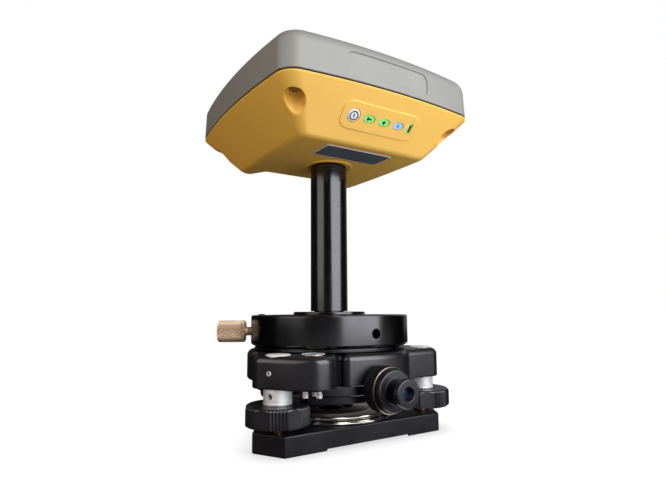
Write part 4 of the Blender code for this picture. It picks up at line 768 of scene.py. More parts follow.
def circuit_board(name, mask):
    """Return a board with tracks under its mask."""
    material, tree, shader, where = new_finish(name)
    tracks = add_node(tree, "TexBrick", {"Vector": where, "Scale": 180.0, "Mortar Size": 0.06,
                      "Color1": shade(mask, 1.0), "Color2": shade(mask, 0.8), "Mortar": shade(mask, 1.9)})
    tree.links.new(tracks.outputs["Color"], shader["Base Color"])
    smudge(tree, shader, where, 0.4, 0.55)
    return material


def make_finishes():
    """Make every finish of the object, by name."""
    colours = bpy.context.scene.finish_colours
    black, bright, brass, chrome = colours.black, colours.bright, colours.brass, colours.chrome
    height = bpy.context.scene.base_sizes.plummet_height
    clamp = (0, pi / 2, bpy.context.scene.adapter_sizes.clamp_turn)
    return {
        "cast_black": moulded("cast black paint", black, (0.34, 0.44), 1100.0, 0.10, 0.2, gleam=COOL),
        "satin_black": moulded("satin black paint", black, (0.26, 0.32), 900.0, 0.006, 0.15, sheen=0.8,
                               ior=1.6, gleam=COOL),
        "knob_black": moulded("moulded black", black, (0.3, 0.38), 2200.0, 0.01, 0.15, sheen=1.0, gleam=COOL),
        "anodised": turned_metal("black anodised", colours.anodised, (0.16, 0.24)),
        "eye_black": moulded("eyepiece black", black, (0.3, 0.38), 2400.0, 0.006, 0.15, sheen=0.9,
                             gleam=COOL),
        "ring_black": moulded("focus ring black", black, (0.3, 0.38), 2400.0, 0.006, 0.15, sheen=0.35),
        "pocket": moulded("screw heads in painted shade", colours.pocket, (0.5, 0.6), 1600.0, 0.01, 0.1),
        # A darker black that paints shade in the spring plate's groove and on the eyepiece's waist.
        "painted_shade_black": moulded("black with painted shade", black * 0.3, (0.14, 0.2), 2400.0, 0.004, 0.15, sheen=0.15),
        "worn": moulded("worn edge", colours.worn, (0.3, 0.4), 2400.0, 0.01, 0.15, 1.0),
        "oxide": moulded("black oxide", black, (0.4, 0.5), 1600.0, 0.01, 0.15),
        "anodised_sight": turned_metal("black anodised eyepiece", colours.anodised, (0.2, 0.3), axis=SIGHT,
                                       centre=(0, 0, height)),
        "bright": turned_metal("bright turned metal", bright, (0.36, 0.46), 1800.0, metallic=0.45),
        "cap": turned_metal("brushed cap", bright, (0.36, 0.46), 1800.0, tone=0.03, metallic=0.1),
        "chrome": turned_metal("polished steel", chrome, (0.08, 0.16), 900.0, 0.002),
        "dish": turned_metal("steel with painted dark reflection", colours.dish, (0.12, 0.2), 900.0, 0.002),
        "brass": turned_metal("knurled brass", brass, (0.36, 0.44), metallic=0.5, axis=clamp),
        # Darker brass paints shade in the knurl's valleys.
        "brass_valley_painted_shade": turned_metal("brass with painted shade in its valleys", brass * 0.33, (0.5, 0.6), metallic=0.6, axis=clamp),
        "copper": turned_metal("bronze", colours.copper, (0.3, 0.4)),
        "steel": moulded("screw steel", chrome, (0.3, 0.42), 1200.0, 0.01, 0.08, 1.0),
        "grey": moulded("grey plastic", colours.grey, (0.4, 0.5), 2400.0, 0.02, 0.03),
        "yellow": moulded("yellow plastic", colours.yellow, (0.4, 0.5), 2400.0, 0.02, 0.03),
        "rubber": moulded("seal rubber", colours.rubber, (0.6, 0.75), 1400.0, 0.03, 0.2),
        "button": moulded("button plastic", colours.button, (0.28, 0.36), 2600.0, 0.01, 0.04),
        "mark": moulded("plain mark", colours.mark, (0.4, 0.5), 2600.0, 0.005, 0.1),
        "green": lit_lens("green lens", colours.green),
        "blue": lit_lens("blue lens", colours.blue),
        "coated": clear_glass("coated glass", colours.glass),
        "vial": clear_glass("level liquid", colours.vial),
        "plate": moulded("bare plate", colours.plate, (0.3, 0.42), 1800.0, 0.01, 0.1),
        "board": circuit_board("circuit board", colours.board),
        "ceramic": moulded("ceramic", colours.ceramic, (0.5, 0.62), 1500.0, 0.02, 0.05),
        "wrap": moulded("battery wrap", colours.wrap, (0.3, 0.42), 700.0, 0.02, 0.1),
    }


FINISHES = {}


def finish(name):
    """Return a finish; all are made on first use."""
    if not FINISHES:
        FINISHES.update(make_finishes())
    return FINISHES[name]


# Levelling base

class SURVEY_OT_base_plate(Operator):
    """Truncated triangular base plate with ball sockets and a relieved underside"""
    bl_idname = "survey.base_plate"
    bl_label = "Base plate"

    def execute(self, context):
        size = context.scene.base_sizes
        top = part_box("base_plate")[1].z
        corners = []
        for foot in FEET:
            along = foot_place(foot).normalized()
            across = Vector((-along.y, along.x))
            for side in (-1, 1):
                corner = along * size.plate_reach + across * side * size.plate_end_half
                corners.append((corner.x, corner.y, size.plate_corner))
        plate = soften(slab("base_plate_form", rounded(corners), 0, top), size.plate_edge)
        drill(plate, size.relief_radius, -OVERCUT, size.relief_depth, sides=128)
        drill(plate, size.insert_radius + GAP, 0, top + OVERCUT)
        ball_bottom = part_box("foot_spindle_back")[0].z
        for foot in FEET:
            drill(plate, size.ball_radius + GAP, ball_bottom - GAP, top + OVERCUT, foot_place(foot))
        dress(surface(plate), "base", "cast_black", "black_paint", "base_plate")
        return {"FINISHED"}


class SURVEY_OT_thread_insert(Operator):
    """Flanged insert with the tripod thread"""
    bl_idname = "survey.thread_insert"
    bl_label = "Thread insert"

    def execute(self, context):
        size = context.scene.base_sizes
        _, bottom, top = spread("thread_insert")
        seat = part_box("base_plate")[1].z + GAP
        edge = 0.4 * MM
        bore, pitch = size.tripod_bore, size.thread_pitch
        profile = [(size.insert_radius, bottom, edge), (size.insert_radius, seat),
                   (size.insert_flange, seat, edge), (size.insert_flange, top, edge), (bore, top)]
        profile = rounded([(bore, bottom)] + profile, 3, closed=False)
        turns = int((top - bottom) / pitch)
        depth = 0.4 * pitch
        for number in range(turns):
            crest = top - (number + 0.5) * pitch
            profile.append((bore + depth, crest))
            profile.append((bore, crest - pitch / 2))
        insert = surface(lathe("thread_insert_form", profile, closed=True))
        dress(insert, "base", "oxide", "brass", "thread_insert")
        return {"FINISHED"}


class SURVEY_OT_spring_plate(Operator):
    """Polished dished spring plate; its middle is darker steel as a painted reflection of the housing above,
    and the groove at the dome's foot is painted shade
    """
    bl_idname = "survey.spring_plate"
    bl_label = "Spring plate"

    def execute(self, context):
        size = context.scene.base_sizes
        radius, low, high = spread("spring_plate")
        sheet = 1.0 * MM
        bore = size.insert_flange + GAP
        rim = low + 1.3 * MM
        step = radius - 4.4 * MM
        groove, line = 0.15 * MM, 0.5 * MM
        upper = [(radius, rim, 0.6 * MM), (step - groove, rim), (step - groove, rim + line),
                 (step + 0.1 * MM, rim + line, 0.1 * MM), (step, high + 0.4 * MM, 0.9 * MM),
                 (0.62 * radius, high - 0.2 * MM, 4.0 * MM), (bore, high)]
        lower = [(bore, high - sheet), (step - sheet, high - sheet, 0.4 * MM),
                 (step - sheet / 2, low, 0.4 * MM), (radius, low, 0.5 * MM)]
        plate = turned("spring_plate_form", lower + upper, 6, steps=160)
        dress(surface(plate, 50), "base", "chrome", "steel", "spring_plate")
        plate.data.materials.append(finish("dish"))
        plate.data.materials.append(finish("painted_shade_black"))
        # Faces in the middle take darker steel, a painted reflection; faces in the groove take the darker
        # black, a painted shadow.
        for face in plate.data.polygons:
            out = face.center.xy.length
            in_shadow_line = rim < face.center.z < rim + line and step - 2 * groove < out
            if out < step - 1.5 * MM:
                face.material_index = 1
            elif in_shadow_line and out < step + groove:
                face.material_index = 2
        return {"FINISHED"}


def knob_radius_at(size, angle):
    """Return the knob's radius at an angle: groups of flutes, hollows between."""
    group = tau / size.knob_groups
    reach = size.flutes * size.flute_pitch / 2
    off = abs((angle + group / 2) % group - group / 2)
    if off <= reach:
        wave = 0.5 - 0.5 * cos(tau * (off + reach) / size.flute_pitch)
        return size.knob_radius - size.flute_depth * wave
    share = (off - reach) / (group / 2 - reach)
    return size.knob_radius - size.knob_hollow * sin(share * pi / 2) ** 0.6


def foot_knob(size):
    """Model one knob on the plumb axis."""
    _, bottom, top = spread("foot_knob_back")
    bore = size.spindle_radius + GAP
    well = size.bush_radius + 2 * GAP
    edge = size.knob_edge
    floor = bottom + size.knob_floor
    collar = 0.4 * MM
    full = size.knob_radius
    levels = [(bore, bottom), (full - edge, bottom), (full - 0.3 * edge, bottom + 0.25 * edge),
              (full, bottom + 0.8 * edge), (full, top - edge), (full - 0.25 * edge, top - 0.7 * edge),
              (full - 0.6 * edge, top - 0.3 * edge), (full - edge, top - 0.06 * edge),
              (full - 1.3 * edge, top), (well + 1.4 * MM, top), (well + 1.2 * MM, top + collar),
              (well + 0.2 * MM, top + collar), (well, top + collar / 2), (well, floor), (bore, floor),
              (bore, bottom)]
    sides = 480
    radii = [knob_radius_at(size, tau * i / sides) for i in range(sides)]
    rings = [shaped_ring(radii, limit, height) for limit, height in levels]
    return surface(loft("foot_knob_form", rings), 40)


def foot_spindle(size):
    """Model one spindle on the plumb axis."""
    _, low, high = spread("foot_spindle_back")
    knob_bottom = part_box("foot_knob_back")[0].z
    ball, crest = low + size.ball_radius, size.spindle_radius
    neck = asin(size.neck_radius / size.ball_radius)
    profile = []
    for i in range(17):
        x, y = polar(size.ball_radius, -pi / 2 + (pi - neck) * i / 16)
        profile.append((x, ball + y))
    profile += [(size.neck_radius, knob_bottom - GAP), (crest, knob_bottom - GAP)]
    pitch = 1.0 * MM
    root = crest - 0.4 * pitch
    profile += thread(crest, root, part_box("foot_knob_back")[1].z, high - pitch, pitch)
    profile += [(crest, high - 0.3 * MM), (crest - 0.3 * MM, high), (0, high)]
    return surface(lathe("foot_spindle_form", profile, steps=48))


class SURVEY_OT_foot_screws(Operator):
    """Fluted foot knobs with their ball-ended spindles"""
    bl_idname = "survey.foot_screws"
    bl_label = "Foot screws"

    def execute(self, context):
        size = context.scene.base_sizes
        start = {"back": 0.0, "front_left": radians(5.9), "front_right": radians(31.9)}
        for foot, knob in at_feet(foot_knob(size), "foot_knob_", start.get):
            dress(knob, "foot_screw_" + foot, "knob_black", "black_paint", "foot_knob_" + foot)
        for foot, spindle in at_feet(foot_spindle(size), "foot_spindle_", lambda foot: 0.0):
            dress(spindle, "foot_screw_" + foot, "copper", "steel", "foot_spindle_" + foot)
        return {"FINISHED"}


class SURVEY_OT_foot_bushes(Operator):
    """Bright bushes with capstan holes, and the caps above them"""
    bl_idname = "survey.foot_bushes"
    bl_label = "Foot bushes and caps"

    def execute(self, context):
        size = context.scene.base_sizes
        _, low, high = spread("foot_bush_back")
        knob_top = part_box("foot_knob_back")[1].z
        bore, full = size.spindle_radius + GAP, size.bush_radius
        groove = 0.35 * MM
        start = knob_top + 1.1 * MM
        profile = [(bore, low), (full, low, 0.3 * MM), (full, start, 0.12 * MM),
                   (full - groove, start + groove, 0.12 * MM),
                   (full - groove, start + 2 * groove, 0.12 * MM), (full, start + 3 * groove, 0.12 * MM),
                   (full, high, 0.3 * MM), (bore, high)]
        bush = turned("foot_bush_form", profile, 3)
        for angle in (0, pi):
            drill_outwards(bush, size.capstan_radius, bore - GAP, full + OVERCUT, angle,
                           size.capstan_height)
        surface(bush)
        radius, cap_low, cap_high = spread("foot_cap_back")
        crown = 0.4 * MM
        cap_profile = [(0, cap_low), (radius, cap_low), (radius, cap_high - crown, 0.2 * MM),
                       (radius - 0.8 * MM, cap_high - 0.15 * MM, 0.5 * MM),
                       (0.6 * radius, cap_high, 4.0 * MM), (0, cap_high + 0.1 * MM)]
        cap = surface(turned("foot_cap_form", cap_profile, 4, False, 64), 25)
        for foot, made in at_feet(bush, "foot_bush_", foot_turn):
            dress(made, "housing", "bright", "bright_metal", "foot_bush_" + foot)
        for foot, made in at_feet(cap, "foot_cap_", lambda foot: 0.0):
            dress(made, "housing", "cap", "bright_metal", "foot_cap_" + foot)
        return {"FINISHED"}


def housing_outline(size):
    """Return the outline: a round body, three lobes, the level's lobe and the plummet's pad."""
    half, root, fillet = size.lobe_half, size.lobe_root, size.lobe_fillet
    tip = size.lobe_reach / cos(half)
    back, left, right = (foot_turn(foot) % tau for foot in FEET)
    corners = []

    def corner(radius, angle, soft=0.0):
        corners.append((*polar(radius, angle), soft))

    def body_arc(start, end):
        for i in range(25):
            corner(size.housing_radius, start + (end - start) * i / 24)

    corner(tip, back - half, fillet)
    corner(tip, back + half, fillet)
    body_arc(back + root, left - root)
    corner(tip, left - half, fillet)
    corner(size.lobe_reach, left + size.level_lobe_start)
    corner(tip, left + size.level_lobe, size.level_lobe_fillet)
    corner(size.pad_recess, left + size.pad_recess_turn, fillet / 24)
    for i in range(9):
        x = size.pad_half * (i / 4 - 1)
        sag = size.pad_curve - sqrt(size.pad_curve ** 2 - x * x)
        corners.append((x, sag - size.pad_distance, fillet / 2 if i in (0, 8) else 0.0))
    corner(size.housing_radius, right - root, fillet / 2)
    corner(tip, right - half, fillet)
    corner(tip, right + half, fillet)
    body_arc(right + root, back - root + tau)
    return rounded(corners, 8)


def set_screws(size):
    """Add the bright set screws, sunk in the lobes' end faces."""
    outer, inner = size.set_hole - 0.1 * MM, 0.95 * MM
    back, face = -0.8 * MM, -0.2 * MM
    profile = [(inner, back), (outer, back), (outer, face, 0.2 * MM), (inner, face, 0.1 * MM)]
    screw = surface(turned("set_screw", profile, 3, steps=40))
    for foot in FEET:
        where = (*polar(size.lobe_reach, foot_turn(foot)), size.set_height)
        made = place(copy_piece(screw, "set_screw_" + foot), where, (0, pi / 2, foot_turn(foot)))
        dress(made, "housing", "bright", "bright_metal")
    bpy.data.objects.remove(screw)


class SURVEY_OT_tribrach_housing(Operator):
    """Lobed casting that carries the bushes, the level and the plummet"""
    bl_idname = "survey.tribrach_housing"
    bl_label = "Tribrach housing"

    def execute(self, context):
        size = context.scene.base_sizes
        adapter = context.scene.adapter_sizes
        _, low, high = spread("tribrach_housing")
        below, above = low - OVERCUT, high + OVERCUT
        outline, rings = housing_outline(size), []
        for edge, start, way in ((size.housing_foot, low, 1), (size.housing_edge, high, -1)):
            for drop, rise in ROUNDING[::way]:
                rings.append(raised(inset(outline, edge * (1 - drop)), start + way * edge * (1 - rise)))
        housing = loft("tribrach_housing_form", rings)
        drill(housing, size.housing_bore, below, above, sides=96)
        plate_radius, plate_low, plate_high = spread("locking_plate")
        room = 0.5 * MM
        drill(housing, plate_radius + room, plate_low - room, plate_high + room, sides=96)
        bush_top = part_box("foot_bush_back")[1].z
        cap_radius, cap_low, _ = spread("foot_cap_back")
        for foot in FEET:
            where = foot_place(foot)
            spoke = polar(adapter.pin_circle, foot_turn(foot))
            drill(housing, size.bush_radius + GAP, below, bush_top + GAP, where)
            drill(housing, size.spindle_radius + 2 * GAP, below, above, where)
            drill(housing, cap_radius + GAP / 2, cap_low - GAP, above, where, 64)
            drill(housing, adapter.pin_radius + 3 * GAP, plate_low, above, spoke)
            drill_outwards(housing, size.set_hole, size.lobe_reach - 3 * MM, size.lobe_reach + OVERCUT,
                           foot_turn(foot), size.set_height)
        case_radius, case_low, _ = spread("level_case")
        drill(housing, case_radius + GAP / 2, case_low - GAP, above, middle("level_case").xy, 64)
        for number in (1, 2, 3):
            screw = "level_screw_" + str(number)
            drill(housing, spread(screw)[0] + GAP, below, case_low + OVERCUT, middle(screw).xy)
        drill_outwards(housing, size.barrel_radius + GAP, 0, size.housing_radius + 2 * OVERCUT, -pi / 2,
                       size.plummet_height, sides=48)
        drill_outwards(housing, LOCK_SHAFT + GAP, plate_radius, size.lobe_reach, size.lock_turn,
                       size.lock_height)
        dress(surface(housing), "housing", "satin_black", "black_paint", "tribrach_housing")
        set_screws(size)
        return {"FINISHED"}


class SURVEY_OT_bottom_cover(Operator):
    """Stepped cover under the housing, scalloped round the foot knobs"""
    bl_idname = "survey.bottom_cover"
    bl_label = "Bottom cover"

    def execute(self, context):
        size = context.scene.base_sizes
        radius, low, high = spread("bottom_cover")
        lens_radius, lens_low, _ = spread("plummet_objective")
        edge = 0.8 * MM
        profile = [(lens_radius - GAP, low), (size.cover_step, low, edge),
                   (size.cover_step, size.cover_step_height, edge), (radius, size.cover_step_height, edge),
                   (radius, high, edge / 2), (lens_radius + GAP, high), (lens_radius + GAP, lens_low - GAP),
                   (lens_radius - GAP, lens_low - GAP)]
        cover = turned("bottom_cover_form", profile, 4, steps=128)
        for foot in FEET:
            drill(cover, size.cover_scallop, 0, size.cover_scallop_top, foot_place(foot), 96)
        drill_outwards(cover, size.barrel_radius + GAP, 0, radius + OVERCUT, -pi / 2, size.plummet_height,
                       sides=48)
        low_corner, high_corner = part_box("plummet_prism")
        grow = Vector((GAP, GAP, GAP))
        block = rounded_rectangle(*(high_corner - low_corner + 2 * grow).xy, 0,
                                  (low_corner + high_corner).xy / 2)
        combine(cover, slab("prism_room", block, low_corner.z - GAP, high + OVERCUT))
        dress(surface(cover), "housing", "satin_black", "black_paint", "bottom_cover")
        return {"FINISHED"}


def level_screw(node):
    """Add a slotted adjusting screw under the level."""
    radius, low, high = spread(node)
    shank, head = 0.8 * radius, low + 2.4 * MM
    profile = [(0, low), (radius, low, 0.3 * MM), (radius, head, 0.2 * MM), (shank, head + 0.2 * MM),
               (shank, high, 0.2 * MM), (0, high)]
    screw = turned(node + "_form", profile, 3, False, 40)
    slot = rounded_rectangle(3 * radius, 0.5 * MM, 0)
    combine(screw, slab("slot", slot, low - OVERCUT, low + 0.8 * MM))
    where = (*middle(node).xy, 0)
    dress(place(surface(screw), where), "housing", "bright", "bright_metal", node)


class SURVEY_OT_circular_level(Operator):
    """Circular level: cup with bright rim, vial with a target ring, and adjusting screws"""
    bl_idname = "survey.circular_level"
    bl_label = "Circular level"

    def execute(self, context):
        radius, low, high = spread("level_case")
        glass, glass_low, glass_high = spread("level_vial")
        centre = (*middle("level_case").xy, 0)
        wall = 1.0 * MM
        floor = low + 2.0 * MM
        cup = [(0, low), (radius, low, 0.3 * MM), (radius, high, 0.3 * MM), (radius - wall, high, 0.3 * MM),
               (radius - wall, floor), (0, floor)]
        case = surface(turned("level_case_form", cup, 4, False))
        dress(place(case, centre), "housing", "satin_black", "black_paint", "level_case")
        dome = [(0, glass_low), (glass, glass_low), (glass, glass_high - 0.6 * MM, 0.2 * MM),
                (glass * 0.55, glass_high - 0.16 * MM, 2 * MM), (0, glass_high)]
        vial = surface(turned("level_vial_form", dome, 4, False), 60)
        dress(place(vial, centre), "housing", "vial", "level_glass", "level_vial")
        ring = band(1.9 * MM, 2.2 * MM, glass_high - 0.12 * MM, glass_high + 0.02 * MM)
        target = surface(lathe("level_ring", ring, closed=True, steps=48))
        dress(place(target, centre), "housing", "mark", "black_paint")
        outer, foot, crown, edge = radius - 0.1 * MM, high - 0.1 * MM, high + 0.25 * MM, 0.15 * MM
        lip = [(radius - wall, foot), (outer, foot), (outer, crown, edge), (radius - 0.5 * MM, crown, edge)]
        bezel = surface(turned("level_bezel", lip, 3))
        dress(place(bezel, centre), "housing", "bright", "bright_metal")
        for number in (1, 2, 3):
            level_screw("level_screw_" + str(number))
        return {"FINISHED"}


def ribbed_rings(size, levels, proud=0.0):
    """Return rings of fine ribs, each held inside its limit."""
    radii = []
    for i in range(size.focus_ribs * 6):
        wave = 0.5 + 0.5 * cos(tau * i / 6)
        radii.append(size.focus_radius - size.focus_rib_depth * (1 - wave) + proud)
    return [shaped_ring(radii, limit, height) for limit, height in levels]


class SURVEY_OT_focus_ring(Operator):
    """Finely ribbed focus ring with a bare metal edge"""
    bl_idname = "survey.focus_ring"
    bl_label = "Focus ring"

    def execute(self, context):
        size = context.scene.base_sizes
        low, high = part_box("focus_ring")
        back, front = -high.y, -low.y
        full = size.focus_radius
        bore = size.barrel_radius + GAP
        edge = 0.7 * MM
        levels = [(bore, back), (full - edge, back), (full, back + edge), (full, front - 1.4 * edge),
                  (full - 0.7 * edge, front - 0.7 * edge), (full - 1.2 * edge, front - 0.6 * edge),
                  (full - 1.6 * edge, front), (bore, front), (bore, back)]
        ring = loft("focus_ring_form", ribbed_rings(size, levels))
        spot = (0, 0, size.plummet_height)
        dress(place(surface(ring, 45), spot, SIGHT), "focus_ring", "ring_black", "black_paint",
              "focus_ring")
        lip = [(full - 0.75 * edge, front - 1.0 * edge), (full - 0.35 * edge, front - 1.1 * edge),
               (full - 0.3 * edge, front - 0.85 * edge), (full - 0.7 * edge, front - 0.55 * edge)]
        rim = surface(loft("focus_ring_edge", ribbed_rings(size, lip + lip[:1], 0.08 * MM)), 45)
        dress(place(rim, spot, SIGHT), "focus_ring", "worn", "black_paint")
        return {"FINISHED"}


class SURVEY_OT_eyepiece(Operator):
    """Eyepiece with collar, head and coated lens"""
    bl_idname = "survey.eyepiece"
    bl_label = "Eyepiece"

    def execute(self, context):
        size = context.scene.base_sizes
        low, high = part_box("eyepiece")
        inner, front = -high.y, -low.y
        collar = -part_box("focus_ring")[0].y + GAP
        waist = collar + size.collar_length
        head = front - size.head_length
        lens_low, lens_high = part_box("eyepiece_lens")
        seat = -lens_high.y - GAP
        sight_bore = 2.4 * MM
        spigot = 4.7 * MM
        profile = [(sight_bore, inner), (spigot, inner), (spigot, collar),
                   (size.collar_radius, collar, 0.5 * MM), (size.collar_radius, waist, 0.7 * MM),
                   (size.waist_radius, waist, 0.4 * MM), (size.waist_radius, head, 0.3 * MM),
                   (size.head_radius, head + 0.6 * MM, 0.3 * MM), (size.head_radius, front, 0.7 * MM),
                   (size.eye_bore, front, 0.4 * MM), (size.eye_bore, seat), (sight_bore, seat)]
        spot = (0, 0, size.plummet_height)
        tube = surface(turned("eyepiece_form", profile, 4))
        dress(place(tube, spot, SIGHT), "eyepiece", "eye_black", "black_anodised", "eyepiece")
        # The waist between collar and head takes the darker black as painted shade.
        tube.data.materials.append(finish("painted_shade_black"))
        for face in tube.data.polygons:
            face.material_index = int(waist + 0.1 * MM < -face.center.y < head)
        glass = (lens_high.x - lens_low.x) / 2
        back, apex = -lens_high.y, -lens_low.y
        dome = [(0, back), (glass, back)]
        for i in range(9):
            share = 1 - i / 8
            dome.append((glass * share, apex - (apex - back) * 0.5 * share * share))
        lens = surface(lathe("eyepiece_lens_form", dome, steps=64), 50)
        dress(place(lens, spot, SIGHT), "eyepiece", "coated", "optical_glass", "eyepiece_lens")
        return {"FINISHED"}


class SURVEY_OT_lock_knob(Operator):
    """Winged lock knob with its shaft and crank pin"""
    bl_idname = "survey.lock_knob"
    bl_label = "Lock knob"

    def execute(self, context):
        size = context.scene.base_sizes
        seat = size.housing_radius + GAP
        top = seat + size.lock_base
        wing_top = top + 9.0 * MM
        shaft = spread("locking_plate")[0] + 0.8 * MM
        profile = [(0, shaft), (LOCK_SHAFT, shaft), (LOCK_SHAFT, seat), (size.lock_radius, seat, 0.5 * MM),
                   (size.lock_radius, top, 1.4 * MM), (0, top)]
        knob = turned("lock_knob_form", profile, 4, False)
        width = 2 * size.lock_radius - size.lock_base
        outline = rounded_rectangle(width, size.lock_wing, 0.45 * size.lock_wing)
        shares = ((1.0, top - size.lock_base / 2), (1.0, top + 1.0 * MM), (0.94, wing_top - 1.2 * MM),
                  (0.88, wing_top - 0.3 * MM), (0.76, wing_top))
        wing = loft("wing", [raised(scaled(outline, share), height) for share, height in shares])
        combine(knob, wing, "UNION")
        throw = 1.7 * MM
        rest = radians(60.0)
        crank = (-throw * cos(rest), throw * sin(rest))
        pin_radius, pin_length = 1.2 * MM, 5.1 * MM
        pin = drum(pin_radius, shaft - pin_length, shaft + OVERCUT, crank, 24)
        combine(knob, pin, "UNION")
        place(surface(knob), (0, 0, size.lock_height), (0, pi / 2, size.lock_turn))
        dress(knob, "lock_knob", "knob_black", "black_paint", "lock_knob")
        return {"FINISHED"}


# Rotating adapter and pole

class SURVEY_OT_adapter_base(Operator):
    """Plate and post of the adapter, with the pins that stand in the housing"""
    bl_idname = "survey.adapter_base"
    bl_label = "Adapter base"

    def execute(self, context):
        size = context.scene.adapter_sizes
        radius, pin_low, post_top = spread("adapter_base")
        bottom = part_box("tribrach_housing")[1].z + GAP
        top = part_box("adapter_body")[0].z - GAP
        bore = size.stud_bore - 0.1 * MM
        profile = [(bore, bottom), (radius, bottom, 0.6 * MM), (radius, top, 0.2 * MM),
                   (size.post_radius, top), (size.post_radius, post_top, 0.4 * MM), (bore, post_top)]
        plate = turned("adapter_base_form", profile, 4, steps=128)
        for foot in FEET:
            spoke = polar(size.pin_circle, foot_turn(foot))
            combine(plate, drum(size.pin_radius, pin_low, bottom + 0.5 * MM, spoke), "UNION")
        dress(surface(plate), "housing", "anodised", "black_anodised", "adapter_base")
        return {"FINISHED"}


class SURVEY_OT_adapter_disc(Operator):
    """Turned adapter disc with its side hole and grub screw"""
    bl_idname = "survey.adapter_disc"
    bl_label = "Adapter disc"

    def execute(self, context):
        size = context.scene.adapter_sizes
        radius, low, high = spread("adapter_body")
        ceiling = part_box("adapter_base")[1].z + GAP
        profile = [(size.bearing_room, low), (radius, low, size.lower_edge),
                   (radius, high, size.upper_edge), (size.stud_bore, high), (size.stud_bore, ceiling),
                   (size.bearing_room, ceiling)]
        disc = turned("adapter_disc_form", profile, 6, steps=160)
        grub_low, grub_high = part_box("grub_screw")
        height = (grub_low.z + grub_high.z) / 2
        front = -pi / 2
        drill_outwards(disc, size.side_hole, radius - size.side_hole_depth, radius + OVERCUT, front, height)
        drill_outwards(disc, size.clamp_stem + GAP, size.clamp_stem_start - GAP, radius + OVERCUT,
                       size.clamp_turn, high - CLAMP_DROP)
        dress(surface(disc), COLUMN, "anodised", "black_anodised", "adapter_body")
        reach, sunk, proud = 2.2 * MM, high - 0.6 * MM, high + 0.8 * MM
        head = [(0, sunk), (reach, sunk), (reach, proud, 0.4 * MM), (0, proud)]
        stop = turned("disc_screw", head, 4, False, 40)
        combine(stop, drum(1.0 * MM, high, high + OVERCUT, sides=6))
        place(surface(stop), (*polar(radius - 6.6 * MM, size.clamp_turn), 0))
        dress(stop, COLUMN, "oxide", "steel")
        grub_radius = (grub_high.x - grub_low.x) / 2
        start, end = -grub_high.y, -grub_low.y
        hexagon = 1.5 * MM
        outer = [(0, start), (grub_radius, start, 0.3 * MM), (grub_radius, end, 0.4 * MM), (0, end)]
        grub = turned("grub_screw_form", outer, 3, False, 48)
        combine(grub, drum(hexagon, end - 3 * MM, end + OVERCUT, sides=6))
        place(surface(grub), (0, 0, height), SIGHT)
        dress(grub, COLUMN, "oxide", "steel", "grub_screw")
        return {"FINISHED"}


class SURVEY_OT_clamp_screw(Operator):
    """Brass clamp screw with a diamond knurl whose valleys get painted shade"""
    bl_idname = "survey.clamp_screw"
    bl_label = "Clamp screw"

    def execute(self, context):
        size = context.scene.adapter_sizes
        around = size.knurls * 8
        full, stem = size.clamp_radius, size.clamp_stem
        pitch = tau * full / size.knurls
        start, end, edge = size.clamp_start, size.clamp_end, size.clamp_edge
        rows = int((end - start) / pitch * 8)

        def ridge(value):
            return abs(value % 1.0 - 0.5) * 2

        rings = [circle(stem, start, around)]
        for row in range(rows + 1):
            along = start + (end - start) * row / rows
            limit = full - max(0.0, edge - (along - start), edge - (end - along))
            v = (along - start) / pitch
            dips = [max(ridge(i / 8 + v), ridge(i / 8 - v)) * size.knurl_depth for i in range(around)]
            rings.append(shaped_ring([full - dip for dip in dips], limit, along))
        ends = ((full - 2.4 * edge, end), (full - 2.9 * edge, end - 0.35 * MM), (0.2 * MM, end - 0.45 * MM))
        rings += [circle(radius, height, around) for radius, height in ends]
        knob = loft("clamp_knob_form", rings)
        low = size.clamp_stem_start
        stem_profile = [(0, low), (stem - 0.4 * MM, low), (stem, low + 0.5 * MM)]
        root = stem - 0.15 * MM
        stem_profile += thread(stem, root, low + 1.0 * MM, start - 1.6 * MM, 0.8 * MM)
        stem_profile += [(stem, start - 0.8 * MM), (stem, start + OVERCUT), (0, start + OVERCUT)]
        combine(knob, lathe("clamp_stem", stem_profile, steps=48), "UNION")
        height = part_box("adapter_body")[1].z - CLAMP_DROP
        surface(knob, 30)
        # Faces sunk in the valleys take darker brass as painted shade.
        valley = full - 0.72 * size.knurl_depth
        sunk = [start + edge < face.center.z < end - edge and face.center.xy.length < valley
                for face in knob.data.polygons]
        place(knob, (0, 0, height), (0, pi / 2, size.clamp_turn))
        dress(knob, "clamp_screw", "brass", "brass", "clamp_screw")
        knob.data.materials.append(finish("brass_valley_painted_shade"))
        for face, deep in zip(knob.data.polygons, sunk):
            face.material_index = int(deep)
        return {"FINISHED"}


class SURVEY_OT_pole(Operator):
    """Pole tube on its foot flange"""
    bl_idname = "survey.pole"
    bl_label = "Pole"

    def execute(self, context):
        size = context.scene.adapter_sizes
        radius, low, high = spread("pole_base_flange")
        tube_radius, tube_low, tube_high = spread("pole_tube")
        top = tube_low - GAP
        profile = [(size.stud_bore, low), (radius, low, 0.2 * MM), (radius, top, 0.7 * MM),
                   (size.spigot_radius, top), (size.spigot_radius, high, 0.4 * MM), (size.stud_bore, high)]
        flange = surface(turned("pole_flange_form", profile, 5, steps=128))
        dress(flange, COLUMN, "anodised", "black_anodised", "pole_base_flange")
        bore = tube_radius - size.pole_wall
        edge = 0.4 * MM
        outline = [(bore, tube_low), (tube_radius, tube_low, edge), (tube_radius, tube_high, edge),
                   (bore, tube_high)]
        tube = surface(turned("pole_tube_form", outline, 4, steps=128))
        dress(tube, COLUMN, "anodised", "black_anodised", "pole_tube")
        return {"FINISHED"}


# Receiver

